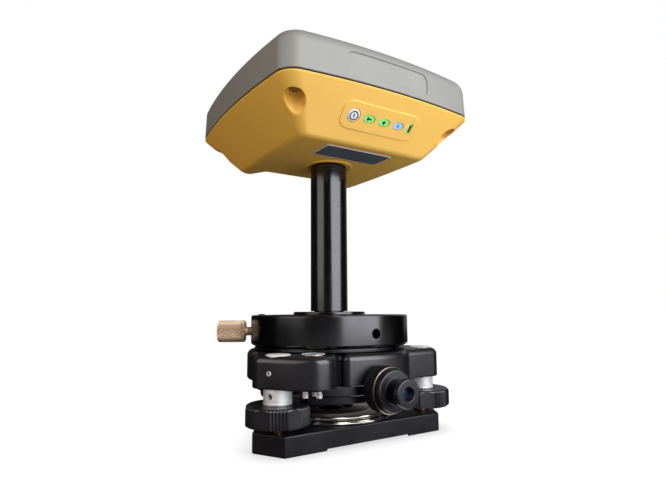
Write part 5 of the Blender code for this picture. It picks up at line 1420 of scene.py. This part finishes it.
def receiver_plan(half, bow, corner, height, side_steps=24, corner_steps=14):
    """Return a ring of the receiver's plan: bowed sides and round corners."""
    chord = half - bow
    straight = chord - corner
    lean = atan(2 * bow / straight) if straight > 0 else 0.0
    quarter = []
    for i in range(side_steps + 1):
        s = 2 * i / side_steps - 1
        quarter.append((s * straight, -(chord + bow * (1 - s * s))))
    for i in range(1, corner_steps):
        a = -pi / 2 + lean + (pi / 2 - 2 * lean) * i / corner_steps
        quarter.append((straight + corner * cos(a), -straight + corner * sin(a)))
    ring = []
    for quarter_turn in range(4):
        c, s = round(cos(quarter_turn * pi / 2)), round(sin(quarter_turn * pi / 2))
        ring += [(x * c - y * s, x * s + y * c, height) for x, y in quarter]
    return ring


class Shell:
    """Shape of the yellow housing's sloped sides, read from the frame and the sizes."""

    def __init__(self):
        self.size = bpy.context.scene.receiver_sizes
        self.half, self.bottom, self.rim = spread("bottom_housing")
        self.rise = self.rim - self.size.lip - self.bottom
        self.run = self.half - self.size.low_half

    def share(self, height):
        """Return 0 at the underside and 1 where the slope ends."""
        return min((height - self.bottom) / self.rise, 1.0)

    def side(self, height):
        """Return the half width, bow and corner radius at a height."""
        size, share = self.size, self.share(height)
        half = size.low_half + self.run * share
        bow = size.low_bow + (size.bow - size.low_bow) * share
        corner = size.low_corner + (size.corner - size.low_corner) * share
        return half, bow, corner

    def ring(self, height, inset=0.0):
        """Return a ring of the sloped sides, moved inwards by an inset."""
        half, bow, corner = self.side(height)
        return receiver_plan(half - inset, bow, corner - inset * self.share(height) / 2, height)

    def corner_height(self, x, y):
        """Return the height of the sloped surface at a place near a corner."""
        low, high = 0.0, 1.0
        for _ in range(40):
            share = (low + high) / 2
            half, bow, corner = self.side(self.bottom + share * self.rise)
            straight = half - bow - corner
            reach = hypot(max(abs(x) - straight, 0.0), max(abs(y) - straight, 0.0))
            if reach > corner:
                low = share
            else:
                high = share
        return self.bottom + low * self.rise

    def panel(self):
        """Return the place and turn of the front panel: local Z outwards, local Y up the slope."""
        height = self.bottom + self.size.panel_rise
        half, _, _ = self.side(height)
        return (0, -half, height), (atan2(self.rise, -self.run), 0, 0)

    def sag(self, x):
        """Return how far the bowed front falls back from the panel's middle plane."""
        half, bow, corner = self.side(self.bottom + self.size.panel_rise)
        straight = half - bow - corner
        return bow * (x / straight) ** 2 * cos(atan2(self.run, self.rise))

    def bay(self):
        """Return the place and turn of the port panel: local Z outwards, local Y down the slope."""
        size = self.size
        share = (size.port_distance - size.bay_start) / (size.bay_end - size.bay_start)
        tilt = atan2(-size.bay_rise, size.bay_start - size.bay_end)
        return (0, size.port_distance, self.bottom + share * size.bay_rise), (tilt, 0, 0)

    def screw_places(self):
        """Return the numbered places of the corner screws."""
        offset = self.size.screw_offset
        signs = ((-1, -1), (1, -1), (1, 1), (-1, 1))
        return [(i + 1, (x * offset, y * offset)) for i, (x, y) in enumerate(signs)]


def housing_outside(shell):
    """Model the closed outer form with soft edges."""
    size = shell.size
    slope = atan2(shell.rise, shell.run)
    tangent = size.low_edge / sin(slope)
    radius = tangent / tan(slope / 2)
    rings = []
    for i in range(9):
        a = slope * i / 8
        height = shell.bottom + radius * (1 - cos(a))
        half = size.low_half - tangent + radius * sin(a)
        rings.append(shell.ring(height, shell.side(height)[0] - half))
    for i in range(1, 6):
        rings.append(shell.ring(shell.bottom + size.low_edge + (shell.rise - size.low_edge) * 0.97 * i / 5))
    edge = size.rim_edge
    lips = ((0.10, -size.lip * 0.85), (0.0, -size.lip * 0.6), (0.0, -edge * 0.7), (0.09, -edge * 0.32),
            (0.3, -edge * 0.08), (0.55, 0.0))
    for inset, drop in lips:
        rings.append(receiver_plan(shell.half - inset * MM, size.bow, size.corner, shell.rim + drop))
    return loft("bottom_housing_form", rings)


def housing_hollow(shell):
    """Model the hollow: it leaves walls, screw towers, posts and the mount's boss."""
    size = shell.size
    slant = size.wall * sqrt(2)
    floor = shell.bottom + size.wall
    above = shell.rim + OVERCUT
    heights = (floor, floor + size.wall, shell.rim - 2 * size.wall)
    rings = [shell.ring(z, slant + size.wall / 2 * (z == floor)) for z in heights]
    corner = size.corner - size.wall / 2
    rings.append(receiver_plan(shell.half - size.wall, size.bow, corner, above))
    hollow = loft("cavity", rings)
    for _, centre in shell.screw_places():
        drill(hollow, size.scallop + size.scallop_wall, shell.bottom, above + OVERCUT, centre)
    post, post_radius = 44.0 * MM, 3.0 * MM
    for x in (-post, post):
        for y in (-post, size.bay_start - post_radius):
            drill(hollow, post_radius, shell.bottom, above + OVERCUT, (x, y))
    boss_wall = 3.0 * MM
    boss_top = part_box("mount_insert")[1].z + GAP + boss_wall
    drill(hollow, size.insert_room + boss_wall, shell.bottom, boss_top, sides=64)
    return combine(hollow, bay_wedge(shell, size.wall))


def bay_wedge(shell, wall):
    """Model the wedge of the port bay, grown by a wall."""
    size = shell.size
    run = Vector((size.bay_end - size.bay_start, size.bay_rise)).normalized()
    far = 2 * shell.half
    half, fade = size.bay_half + wall, size.bay_fade

    def section(x, depth):
        inward = Vector((-run.y, run.x)) * depth
        low = Vector((size.bay_start, shell.bottom)) + inward - run * 4 * OVERCUT
        high = Vector((size.bay_end, shell.bottom + size.bay_rise)) + inward + run * wall
        return [(x, low.x, low.y), (x, far, low.y), (x, far, high.y), (x, high.x, high.y)]

    places = ((-half - fade, wall - fade), (-half, wall), (half, wall), (half + fade, wall - fade))
    return soften(loft("bay_wedge", [section(x, depth) for x, depth in places]), 1.6 * MM, 4)


def scallop_cutter(shell, centre):
    """Model a scallop's cutter: a round pocket whose mouth flares into the slope."""
    size = shell.size
    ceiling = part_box("housing_screw_1")[0].z + SCREW_HEAD + GAP
    sides = 72

    def mouth(radius, drop):
        ring = circle(radius, 0, sides, centre)
        return [(x, y, shell.corner_height(x, y) - drop) for x, y, _ in ring]

    full = size.scallop
    hollow = ((1.9, 0.0), (1.0, 0.35), (0.4, 1.0), (0.08, 1.9), (0.0, 2.6))
    rings = [circle(full - narrow * MM, ceiling - drop * MM, sides, centre) for narrow, drop in hollow]
    flare = ((0.0, -0.9), (0.12, -0.45), (0.45, -0.12), (1.3, 0.25))
    rings += [mouth(full + wider * MM, drop * MM) for wider, drop in flare]
    rings.append(circle(full + 1.3 * MM, shell.bottom - 10 * MM, sides, centre))
    return loft("scallop", rings)


def panel_pad(shell):
    """Model the raised panel: soft edges and a top that follows the bowed front."""
    size = shell.size
    step = size.panel_step
    levels = ((1.0, -1.5 * MM), (1.0, -0.15 * MM), (0.7, -0.02 * MM), (0.4, 0.25 * step), (0.2, 0.6 * step),
              (0.0, 0.88 * step), (-0.35, step), (-2.5, step), (-5.0, step), (-7.0, step), (-8.3, step))
    rings = []
    for grow, level in levels:
        grow = grow * MM
        outline = rounded_rectangle(size.panel_width + 2 * grow, size.panel_depth + 2 * grow,
                                    max(size.panel_corner + grow, 0.1 * MM))
        rings.append([(x, y, level - shell.sag(x)) for x, y in along_sides(outline)])
    return loft("panel_pad", rings)


class SURVEY_OT_bottom_housing(Operator):
    """Yellow housing: sloped bowed sides, scalloped corners, raised panel and port bay"""
    bl_idname = "survey.bottom_housing"
    bl_label = "Bottom housing"

    def execute(self, context):
        shell = Shell()
        size = shell.size
        housing = combine(housing_outside(shell), housing_hollow(shell))
        outer, inner, bevel = size.boss_radius, size.boss_radius - size.boss_width, 0.4 * MM
        root, foot = shell.bottom + 0.3 * MM, shell.bottom - size.boss_height
        shoulder = shell.bottom - size.boss_height * 0.6
        boss = [(inner, root), (outer, root), (outer, shoulder), (outer - bevel, foot),
                (inner + bevel, foot), (inner, shoulder)]
        combine(housing, lathe("boss", boss, closed=True), "UNION")
        below = shell.bottom - OVERCUT
        for _, centre in shell.screw_places():
            combine(housing, scallop_cutter(shell, centre))
            drill(housing, size.shank_radius + GAP, below, shell.rim + OVERCUT, centre, 24)
        drill(housing, size.insert_room, below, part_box("mount_insert")[1].z + GAP, sides=64)
        combine(housing, bay_wedge(shell, 0.0))
        port_place, port_turn = shell.bay()
        deep = -3 * size.wall
        bit = drum(size.port_radius + GAP, deep, OVERCUT)
        combine(housing, place(bit, port_place, port_turn))
        spot, tilt = shell.panel()
        combine(housing, place(panel_pad(shell), spot, tilt), "UNION")
        hole = drum(size.button_radius + GAP, deep, OVERCUT, (size.button_offset, 0), 64)
        combine(housing, place(hole, spot, tilt))
        for name, outline in window_outlines(size, GAP):
            combine(housing, place(slab(name + "_hole", outline, deep, OVERCUT), spot, tilt))
        dress(surface(housing, 32), COLUMN, "yellow", "yellow_plastic", "bottom_housing")
        return {"FINISHED"}


def window_outlines(size, grow):
    """Return the named outlines of the panel's lenses, grown by a clearance."""
    outlines = []
    for name in ("lens_left", "lens_middle", "lens_right"):
        centre = (middle(name).x, 0)
        outlines.append((name, oval(size.lens_width + 2 * grow, size.lens_depth + 2 * grow, centre)))
    centre = (middle("battery_window").x, 0)
    bar = rounded_rectangle(size.window_width + 2 * grow, size.window_depth + 2 * grow, 1.2 * MM + grow,
                            centre)
    outlines.append(("battery_window", bar))
    return outlines


def cover_ring(size, full, half, height):
    """Return a ring whose bow and corners follow its width."""
    share = half / full
    return receiver_plan(half, size.bow * share, size.corner * share, height)


def cover_rings(size, wall, start, steps):
    """Return the rings of the outer form, or of the hollow inside a wall."""
    full, rim, top = spread("top_cover")
    wall_top = rim + size.wall_height
    wall_half = full - size.draft
    made = [cover_ring(size, full, full - wall, start)]
    if not wall:
        edge = size.rim_edge
        lips = ((0.55, 0.0), (0.3, edge * 0.08), (0.09, edge * 0.32), (0.0, edge * 0.7))
        made = [cover_ring(size, full, full - inset * MM, start + rise) for inset, rise in lips]
    made.append(cover_ring(size, full, wall_half - wall, wall_top - wall / 4))
    for i in range(1, steps + 1):
        a = radians(82.0) * i / steps
        made.append(cover_ring(size, full, wall_half - wall - size.shoulder * (1 - cos(a)),
                    wall_top + (size.shoulder - wall) * sin(a)))
    edge_half = wall_half - size.shoulder
    edge_top = wall_top + size.shoulder
    for i in range(1, steps + 1):
        share = 0.98 * (1 - i / steps) + 0.001
        rise = (top - edge_top) * (1 - share * share)
        made.append(cover_ring(size, full, (edge_half - wall) * share, edge_top + rise - wall))
    return made


def bare_recess(size):
    """Model the cutter of the bare recess: an even depth under the bowed front."""
    full, rim, _ = spread("top_cover")
    low, high = rim + size.recess_bottom, rim + size.recess_bottom + size.recess_height
    centre = ((size.recess_left + size.recess_right) / 2, (low + high) / 2)
    width, tall = size.recess_right - size.recess_left, size.recess_height
    levels = ((-0.35, 1.0), (-0.08, 0.93), (0.05, 0.6), (0.12, 0.2), (0.4, -0.02), (0.5, -6.0))
    rings = []
    for grow, share in levels:
        outline = rounded_rectangle(width + 2 * grow * MM, tall + 2 * grow * MM, 4.4 * MM + grow * MM,
                                    centre)
        depth = share * size.recess_depth
        rings.append([(x, cover_front(size, full, rim, x, z) + depth, z) for x, z in along_sides(outline)])
    return loft("bare_recess", rings)


def cover_front(size, full, rim, x, z):
    """Return the place along Y of the bowed front at a point."""
    half = full - size.draft * (z - rim) / size.wall_height
    share = half / full
    chord = half - size.bow * share
    straight = chord - size.corner * share
    return -(chord + size.bow * share * (1 - (x / straight) ** 2))


class SURVEY_OT_top_cover(Operator):
    """Grey domed cover with a bare recess in its front"""
    bl_idname = "survey.top_cover"
    bl_label = "Top cover"

    def execute(self, context):
        size = context.scene.receiver_sizes
        _, rim, top = spread("top_cover")
        cover = loft("top_cover_form", cover_rings(size, 0.0, rim, 10))
        hollow = loft("hollow", cover_rings(size, size.wall, rim - OVERCUT, 4))
        shell = Shell()
        tower = 5.0 * MM
        for _, centre in shell.screw_places():
            drill(hollow, tower, rim - 2 * OVERCUT, top, centre)
        combine(cover, hollow)
        screw_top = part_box("housing_screw_1")[1].z
        for _, centre in shell.screw_places():
            drill(cover, size.shank_radius + GAP, rim - OVERCUT, screw_top + GAP, centre, 24)
        combine(cover, bare_recess(size))
        dress(surface(cover, 32), COLUMN, "grey", "grey_plastic", "top_cover")
        return {"FINISHED"}


class SURVEY_OT_parting_seal(Operator):
    """Thin seal between the two covers"""
    bl_idname = "survey.parting_seal"
    bl_label = "Parting seal"

    def execute(self, context):
        size = context.scene.receiver_sizes
        half, low, high = spread("parting_seal")
        inner = half - size.wall + 0.8 * MM
        bulge = 0.12 * MM
        levels = ((inner, low), (half - bulge, low), (half, (low + high) / 2), (half - bulge, high),
                  (inner, high), (inner, low))
        rings = [receiver_plan(reach, size.bow, size.corner - 0.3 * MM, height) for reach, height in levels]
        seal = surface(loft("parting_seal_form", rings), 50)
        dress(seal, COLUMN, "rubber", "seal_rubber", "parting_seal")
        return {"FINISHED"}


def power_button(shell):
    """Add the round button with a plain ring and bar."""
    size = shell.size
    spot, tilt = shell.panel()
    top = size.panel_step + 0.3 * MM - shell.sag(size.button_offset)
    face, back = top - 0.12 * MM, top - 4.4 * MM
    radius = size.button_radius
    profile = [(0, back), (radius, back), (radius, top - 0.5 * MM, 0.5 * MM),
               (radius * 0.72, top, 0.8 * MM), (radius * 0.66, face, 0.4 * MM), (0, face)]
    button = surface(turned("power_button_form", profile, 4, False, 64), 50)
    place(button, (size.button_offset, 0, 0))
    dress(place(button, spot, tilt), "power_button", "button", "button_plastic", "power_button")
    low, high = face - 0.1 * MM, face + 0.05 * MM
    ring = band(radius * 0.53, radius * 0.72, low, high)
    mark = lathe("power_ring", ring, closed=True, steps=64)
    bar = rounded_rectangle(0.2 * radius, 0.66 * radius, 0.08 * radius, steps=4)
    combine(mark, slab("power_bar", bar, low, high), "UNION")
    place(surface(mark), (size.button_offset, 0, 0))
    dress(place(mark, spot, tilt), "power_button", "mark", "black_paint")


def indicator_lens(shell, name, outline, colour):
    """Add an indicator lens with a soft edge and a plain dark mark."""
    spot, tilt = shell.panel()
    centre = (middle(name).x, 0)
    face = shell.size.panel_step - 0.3 * MM - shell.sag(centre[0])
    levels = ((1.0, -3.2), (1.0, -0.25), (0.97, -0.08), (0.9, 0.0), (0.6, 0.06))
    rings = [raised(scaled(outline, share, centre), face + rise * MM) for share, rise in levels]
    lens = place(surface(loft(name + "_form", rings), 50), spot, tilt)
    slot = "blue_lens" if colour == "blue" else "green_lens"
    dress(lens, COLUMN, colour, slot, name)
    marks = {"lens_left": [(-1.0, 0.0, 1.3, 2.3), (0.6, -0.1, 2.2, 1.3)],
             "lens_middle": [(0.0, -0.2, 1.2, 2.5), (0.0, 0.1, 2.3, 1.2)],
             "lens_right": [(0.0, 0.0, 0.8, 2.4)],
             "battery_window": [(0.25, 0.1, 1.7, 4.9)]}
    mark = None
    for x, y, width, depth in marks[name]:
        where = (centre[0] + x * MM, centre[1] + y * MM)
        bar = rounded_rectangle(width * MM, depth * MM, 0.2 * MM, where, 4)
        part = slab(name + "_mark", bar, face - 0.1 * MM, face + 0.1 * MM)
        mark = combine(mark, part, "UNION") if mark else part
    dress(place(surface(mark), spot, tilt), COLUMN, "mark", "black_paint")


class SURVEY_OT_front_panel(Operator):
    """Power button, indicator lenses and battery window"""
    bl_idname = "survey.front_panel"
    bl_label = "Front panel"

    def execute(self, context):
        shell = Shell()
        power_button(shell)
        colours = {"lens_right": "blue"}
        for name, outline in window_outlines(shell.size, 0.0):
            indicator_lens(shell, name, outline, colours.get(name, "green"))
        return {"FINISHED"}


class SURVEY_OT_housing_screws(Operator):
    """Corner screws with a cross recess; their heads are dark brown as painted shade in the scallops"""
    bl_idname = "survey.housing_screws"
    bl_label = "Housing screws"

    def execute(self, context):
        size = context.scene.receiver_sizes
        head, low, high = spread("housing_screw_1")
        seat = low + SCREW_HEAD
        shank = size.shank_radius
        profile = [(0, low), (head, low + 0.5 * MM, 1.0 * MM), (head, seat, 0.2 * MM), (shank, seat)]
        profile = rounded(profile, 4, closed=False)
        profile += thread(shank, shank * 0.75, seat + 0.6 * MM, high - 1.4 * MM, 0.9 * MM)
        profile += [(shank * 0.5, high - 0.4 * MM), (0, high)]
        screw = lathe("housing_screw_form", profile, steps=48)
        for angle in (0, pi / 2):
            slot = slab("slot", rounded_rectangle(3.4 * MM, 0.8 * MM, 0.2 * MM), low - OVERCUT,
                        low + 1.5 * MM)
            combine(screw, place(slot, rotation=(0, 0, angle)))
        surface(screw)
        for number, centre in Shell().screw_places():
            node = "housing_screw_" + str(number)
            made = place(copy_piece(screw, node + "_form"), (*centre, 0), (0, 0, 0.4 * number))
            # The heads take a dark brown that paints the shade under the scallops' ceilings.
            dress(made, COLUMN, "pocket", "steel", node)
        bpy.data.objects.remove(screw)
        return {"FINISHED"}


class SURVEY_OT_data_port(Operator):
    """Round port in the bay at the back, with its hinged cap"""
    bl_idname = "survey.data_port"
    bl_label = "Data port"

    def execute(self, context):
        shell = Shell()
        size = shell.size
        spot, tilt = shell.bay()
        depth = 7.0 * MM
        profile = [(0, -depth), (size.port_radius, -depth), (size.port_radius, 0, 0.4 * MM),
                   (size.port_plug, 0, 0.4 * MM), (size.port_plug, -depth / 2), (0, -depth / 2)]
        socket = turned("port_socket_form", profile, 4, False)
        pins, pin_radius, pin_circle, pin_top = 5, 0.45 * MM, 2.2 * MM, -1.2 * MM
        for i in range(pins):
            where = polar(pin_circle, tau * i / pins)
            pin = drum(pin_radius, -depth / 2 - 0.2 * MM, pin_top, where, 16)
            combine(socket, pin, "UNION")
        dress(place(surface(socket), spot, tilt), COLUMN, "rubber", "seal_rubber", "port_socket")
        low, high = GAP, GAP + size.cap_thickness
        full, dip = size.cap_radius, high - 0.5 * MM
        lid = [(0, low), (full, low, 0.4 * MM), (full, high, 0.9 * MM), (0.6 * full, high, 0.5 * MM),
               (0.55 * full, dip, 0.3 * MM), (0, dip)]
        cap = turned("port_cap_form", lid, 4, False)
        half = 4.2 * MM
        tab = [(-half, -size.hinge_offset, 0.6 * MM), (half, -size.hinge_offset, 0.6 * MM), (half, 0),
               (-half, 0)]
        strap = slab("cap_strap", rounded(tab, 4), low, low + 0.6 * size.cap_thickness)
        combine(cap, soften(strap, 0.3 * MM, 3), "UNION")
        dress(place(surface(cap), spot, tilt), "port_cap", "rubber", "seal_rubber", "port_cap")
        return {"FINISHED"}


class SURVEY_OT_bare_plate(Operator):
    """Bare dark plate on the underside"""
    bl_idname = "survey.bare_plate"
    bl_label = "Bare plate"

    def execute(self, context):
        shell = Shell()
        size = shell.size
        thickness, border = 0.35 * MM, 0.7 * MM
        top = shell.bottom - 0.02 * MM
        face = top - thickness
        width, depth = size.plate_width, size.plate_depth
        centre = (-1.0 * MM, size.plate_middle)
        outline = rounded_rectangle(width, depth, 1.5 * MM, centre)
        plate = soften(slab("bare_plate", outline, face, top), 0.12 * MM, 3)
        dress(surface(plate), COLUMN, "button", "bright_metal")
        inner = rounded_rectangle(width - 2 * border, depth - 2 * border, 1.0 * MM, centre)
        field = soften(slab("bare_plate_field", inner, face - 0.06 * MM, face + 0.1 * MM), 0.03 * MM, 2)
        dress(surface(field), COLUMN, "plate", "seal_rubber")
        return {"FINISHED"}


class SURVEY_OT_inner_pieces(Operator):
    """Finishes of the pieces inside, which keep their shapes"""
    bl_idname = "survey.inner_pieces"
    bl_label = "Inner pieces"

    def execute(self, context):
        finishes = {"plummet_barrel": "anodised_sight", "plummet_prism": "coated",
                    "plummet_objective": "coated", "locking_plate": "steel", "bearing_bush": "copper",
                    "adapter_stud": "steel", "receiver_stud": "steel", "mount_insert": "brass",
                    "battery_pack": "wrap", "main_board": "board", "ground_plane": "bright",
                    "antenna_patch": "ceramic"}
        for node, name in finishes.items():
            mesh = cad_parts[node].data
            mesh.materials.clear()
            mesh.materials.append(finish(name))
        return {"FINISHED"}


# Stage

def softbox(name, radiance, size, where, aim=0.15, colour=(1.0, 1.0, 1.0), diffuse=True, glossy=True):
    """Add an area light at an azimuth, distance and height, aimed at the plumb axis."""
    begin()
    azimuth, distance, height = where
    bpy.ops.object.light_add(type="AREA", location=(*polar(distance, radians(azimuth)), height))
    lamp = bpy.context.object
    lamp.name = name
    lamp.data.shape = "RECTANGLE"
    lamp.data.size, lamp.data.size_y = size
    lamp.data.energy = radiance * pi * size[0] * size[1]
    lamp.data.color = colour
    lamp.rotation_euler = (Vector((0, 0, aim)) - lamp.location).to_track_quat("-Z", "Y").to_euler()
    lamp.visible_camera = False
    lamp.visible_diffuse = diffuse
    lamp.visible_glossy = glossy
    return lamp


def split_rays(tree, kind, others, seen):
    """Show one shader to a kind of ray and another to the rest."""
    rays = tree.nodes.new("ShaderNodeLightPath").outputs[kind]
    return add_node(tree, "MixShader", {0: rays, 1: others.outputs[0], 2: seen.outputs[0]})


def pale_floor(settings):
    """Add the floor: white to the camera with a contact shadow painted by ambient occlusion; to the object, a
    sheet whose tones paint the key's light in front and darken behind as painted shade.
    """
    begin()
    bpy.ops.mesh.primitive_plane_add(size=40.0, location=(0, 0, -0.05 * MM))
    sheet = bpy.context.object
    sheet.name = "floor"
    place(sheet, sheet.location)
    material = bpy.data.materials.new("pale floor")
    material.use_nodes = True
    tree = material.node_tree
    tree.nodes.clear()
    # The camera sees a glow dimmed by ambient occlusion: a painted contact shadow.
    open_sky = add_node(tree, "AmbientOcclusion", {"Distance": 0.016}, samples=16)
    tones = {"Value": open_sky.outputs["AO"], "From Min": 0.4, "To Min": settings.contact, "To Max": 1.02}
    shadow = add_node(tree, "MapRange", tones)
    bright = add_node(tree, "Emission", {"Strength": shadow.outputs[0]})
    where = tree.nodes.new("ShaderNodeTexCoord").outputs["Object"]

    def sheet_of(angle, start, end, low, high):
        forward = (*polar(1.0, radians(angle)), 0)
        ahead = add_node(tree, "VectorMath", {0: where, 1: forward}, operation="DOT_PRODUCT")
        ends = {"From Min": start, "From Max": end, "To Min": low, "To Max": high}
        tone = add_node(tree, "MapRange", {"Value": ahead.outputs["Value"], **ends})
        return add_node(tree, "BsdfDiffuse", {"Color": tone.outputs[0]})

    # Tones that rise towards the key paint its light on the floor; the low tones behind paint shade.
    dull = sheet_of(300.0, -0.05, 0.25, settings.floor_painted_shade, settings.floor_painted_light)
    dark = sheet_of(262.0, 0.15, 0.36, settings.floor_painted_shade / 2, settings.floor_painted_light / 2)
    mixed = split_rays(tree, "Is Camera Ray", split_rays(tree, "Is Glossy Ray", dull, dark), bright)
    end = tree.nodes.new("ShaderNodeOutputMaterial")
    tree.links.new(mixed.outputs[0], end.inputs["Surface"])
    sheet.data.materials.append(material)


def light_room(scene, settings):
    """Light the room: white to the camera, dim to the object."""
    world = bpy.data.worlds.new("studio")
    world.use_nodes = True
    tree = world.node_tree
    tree.nodes.clear()
    white = add_node(tree, "Background", {"Color": WHITE, "Strength": 1.0})
    dim = add_node(tree, "Background", {"Color": WHITE, "Strength": settings.sky})
    mixed = split_rays(tree, "Is Camera Ray", dim, white)
    end = tree.nodes.new("ShaderNodeOutputWorld")
    tree.links.new(mixed.outputs[0], end.inputs["Surface"])
    scene.world = world


class SURVEY_OT_stage(Operator):
    """Pale floor, soft studio light and the camera"""
    bl_idname = "survey.stage"
    bl_label = "Stage"

    def execute(self, context):
        scene = context.scene
        settings = scene.stage_settings
        pale_floor(settings)
        light_room(scene, settings)
        softbox("front_softbox", settings.key, size=(1.15, 1.1), where=(284.0, 0.9, 0.5))
        softbox("left_softbox", settings.side, size=(0.66, 0.76), where=(184.0, 0.8, 0.45), aim=0.2,
                colour=(1.0, 0.94, 0.86))
        softbox("left_fill", settings.fill, size=(0.5, 0.3), where=(176.0, 0.8, 0.1), aim=0.2,
                colour=(1.0, 0.62, 0.34), glossy=False)
        glow = softbox("floor_glow", settings.glow, size=(0.26, 0.22), where=(312.0, 0.185, 0.5 * MM),
                       diffuse=False)
        glow.data.spread = radians(110.0)
        glow.rotation_euler = (pi, 0, 0)
        softbox("back_wall", settings.back, size=(1.2, 1.2), where=(36.0, 1.3, 0.55))
        softbox("back_fill", settings.back_fill, size=(1.2, 1.0), where=(65.0, 1.1, 0.4), glossy=False)
        begin()
        bpy.ops.object.camera_add(location=settings.camera_place, rotation=settings.camera_turn)
        camera = context.object
        camera.name = "camera"
        camera.data.sensor_width = 36.0
        camera.data.lens = settings.lens
        camera.data.clip_start = 0.01
        scene.camera = camera
        scene.view_settings.view_transform = "Standard"
        return {"FINISHED"}


class SURVEY_PT_pieces(Panel):
    """List of the pieces in the sidebar"""
    bl_idname = "SURVEY_PT_pieces"
    bl_label = "Surveying receiver"
    bl_space_type = "VIEW_3D"
    bl_region_type = "UI"
    bl_category = "Survey"

    def draw(self, context):
        for operator in OPERATORS:
            self.layout.operator(operator.bl_idname)


GROUPS = {
    "base_sizes": LevellingBaseSizes,
    "adapter_sizes": AdapterSizes,
    "receiver_sizes": ReceiverSizes,
    "finish_colours": FinishColours,
    "stage_settings": StageSettings,
}

OPERATORS = (
    SURVEY_OT_base_plate,
    SURVEY_OT_thread_insert,
    SURVEY_OT_spring_plate,
    SURVEY_OT_foot_screws,
    SURVEY_OT_foot_bushes,
    SURVEY_OT_tribrach_housing,
    SURVEY_OT_bottom_cover,
    SURVEY_OT_circular_level,
    SURVEY_OT_focus_ring,
    SURVEY_OT_eyepiece,
    SURVEY_OT_lock_knob,
    SURVEY_OT_adapter_base,
    SURVEY_OT_adapter_disc,
    SURVEY_OT_clamp_screw,
    SURVEY_OT_pole,
    SURVEY_OT_bottom_housing,
    SURVEY_OT_top_cover,
    SURVEY_OT_parting_seal,
    SURVEY_OT_front_panel,
    SURVEY_OT_housing_screws,
    SURVEY_OT_data_port,
    SURVEY_OT_bare_plate,
    SURVEY_OT_inner_pieces,
    SURVEY_OT_stage,
)


def register():
    """Register the classes and hang the values on the scene."""
    for name, group in GROUPS.items():
        bpy.utils.register_class(group)
        setattr(bpy.types.Scene, name, PointerProperty(type=group))
    for operator in OPERATORS:
        bpy.utils.register_class(operator)
    bpy.utils.register_class(SURVEY_PT_pieces)


def unregister():
    """Take the classes and the values away again."""
    bpy.utils.unregister_class(SURVEY_PT_pieces)
    for operator in reversed(OPERATORS):
        bpy.utils.unregister_class(operator)
    for name, group in GROUPS.items():
        delattr(bpy.types.Scene, name)
        bpy.utils.unregister_class(group)


def main():
    """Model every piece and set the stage."""
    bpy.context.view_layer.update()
    register()
    for operator in OPERATORS:
        area, name = operator.bl_idname.split(".")
        getattr(getattr(bpy.ops, area), name)()


if __name__ == "__main__":
    main()
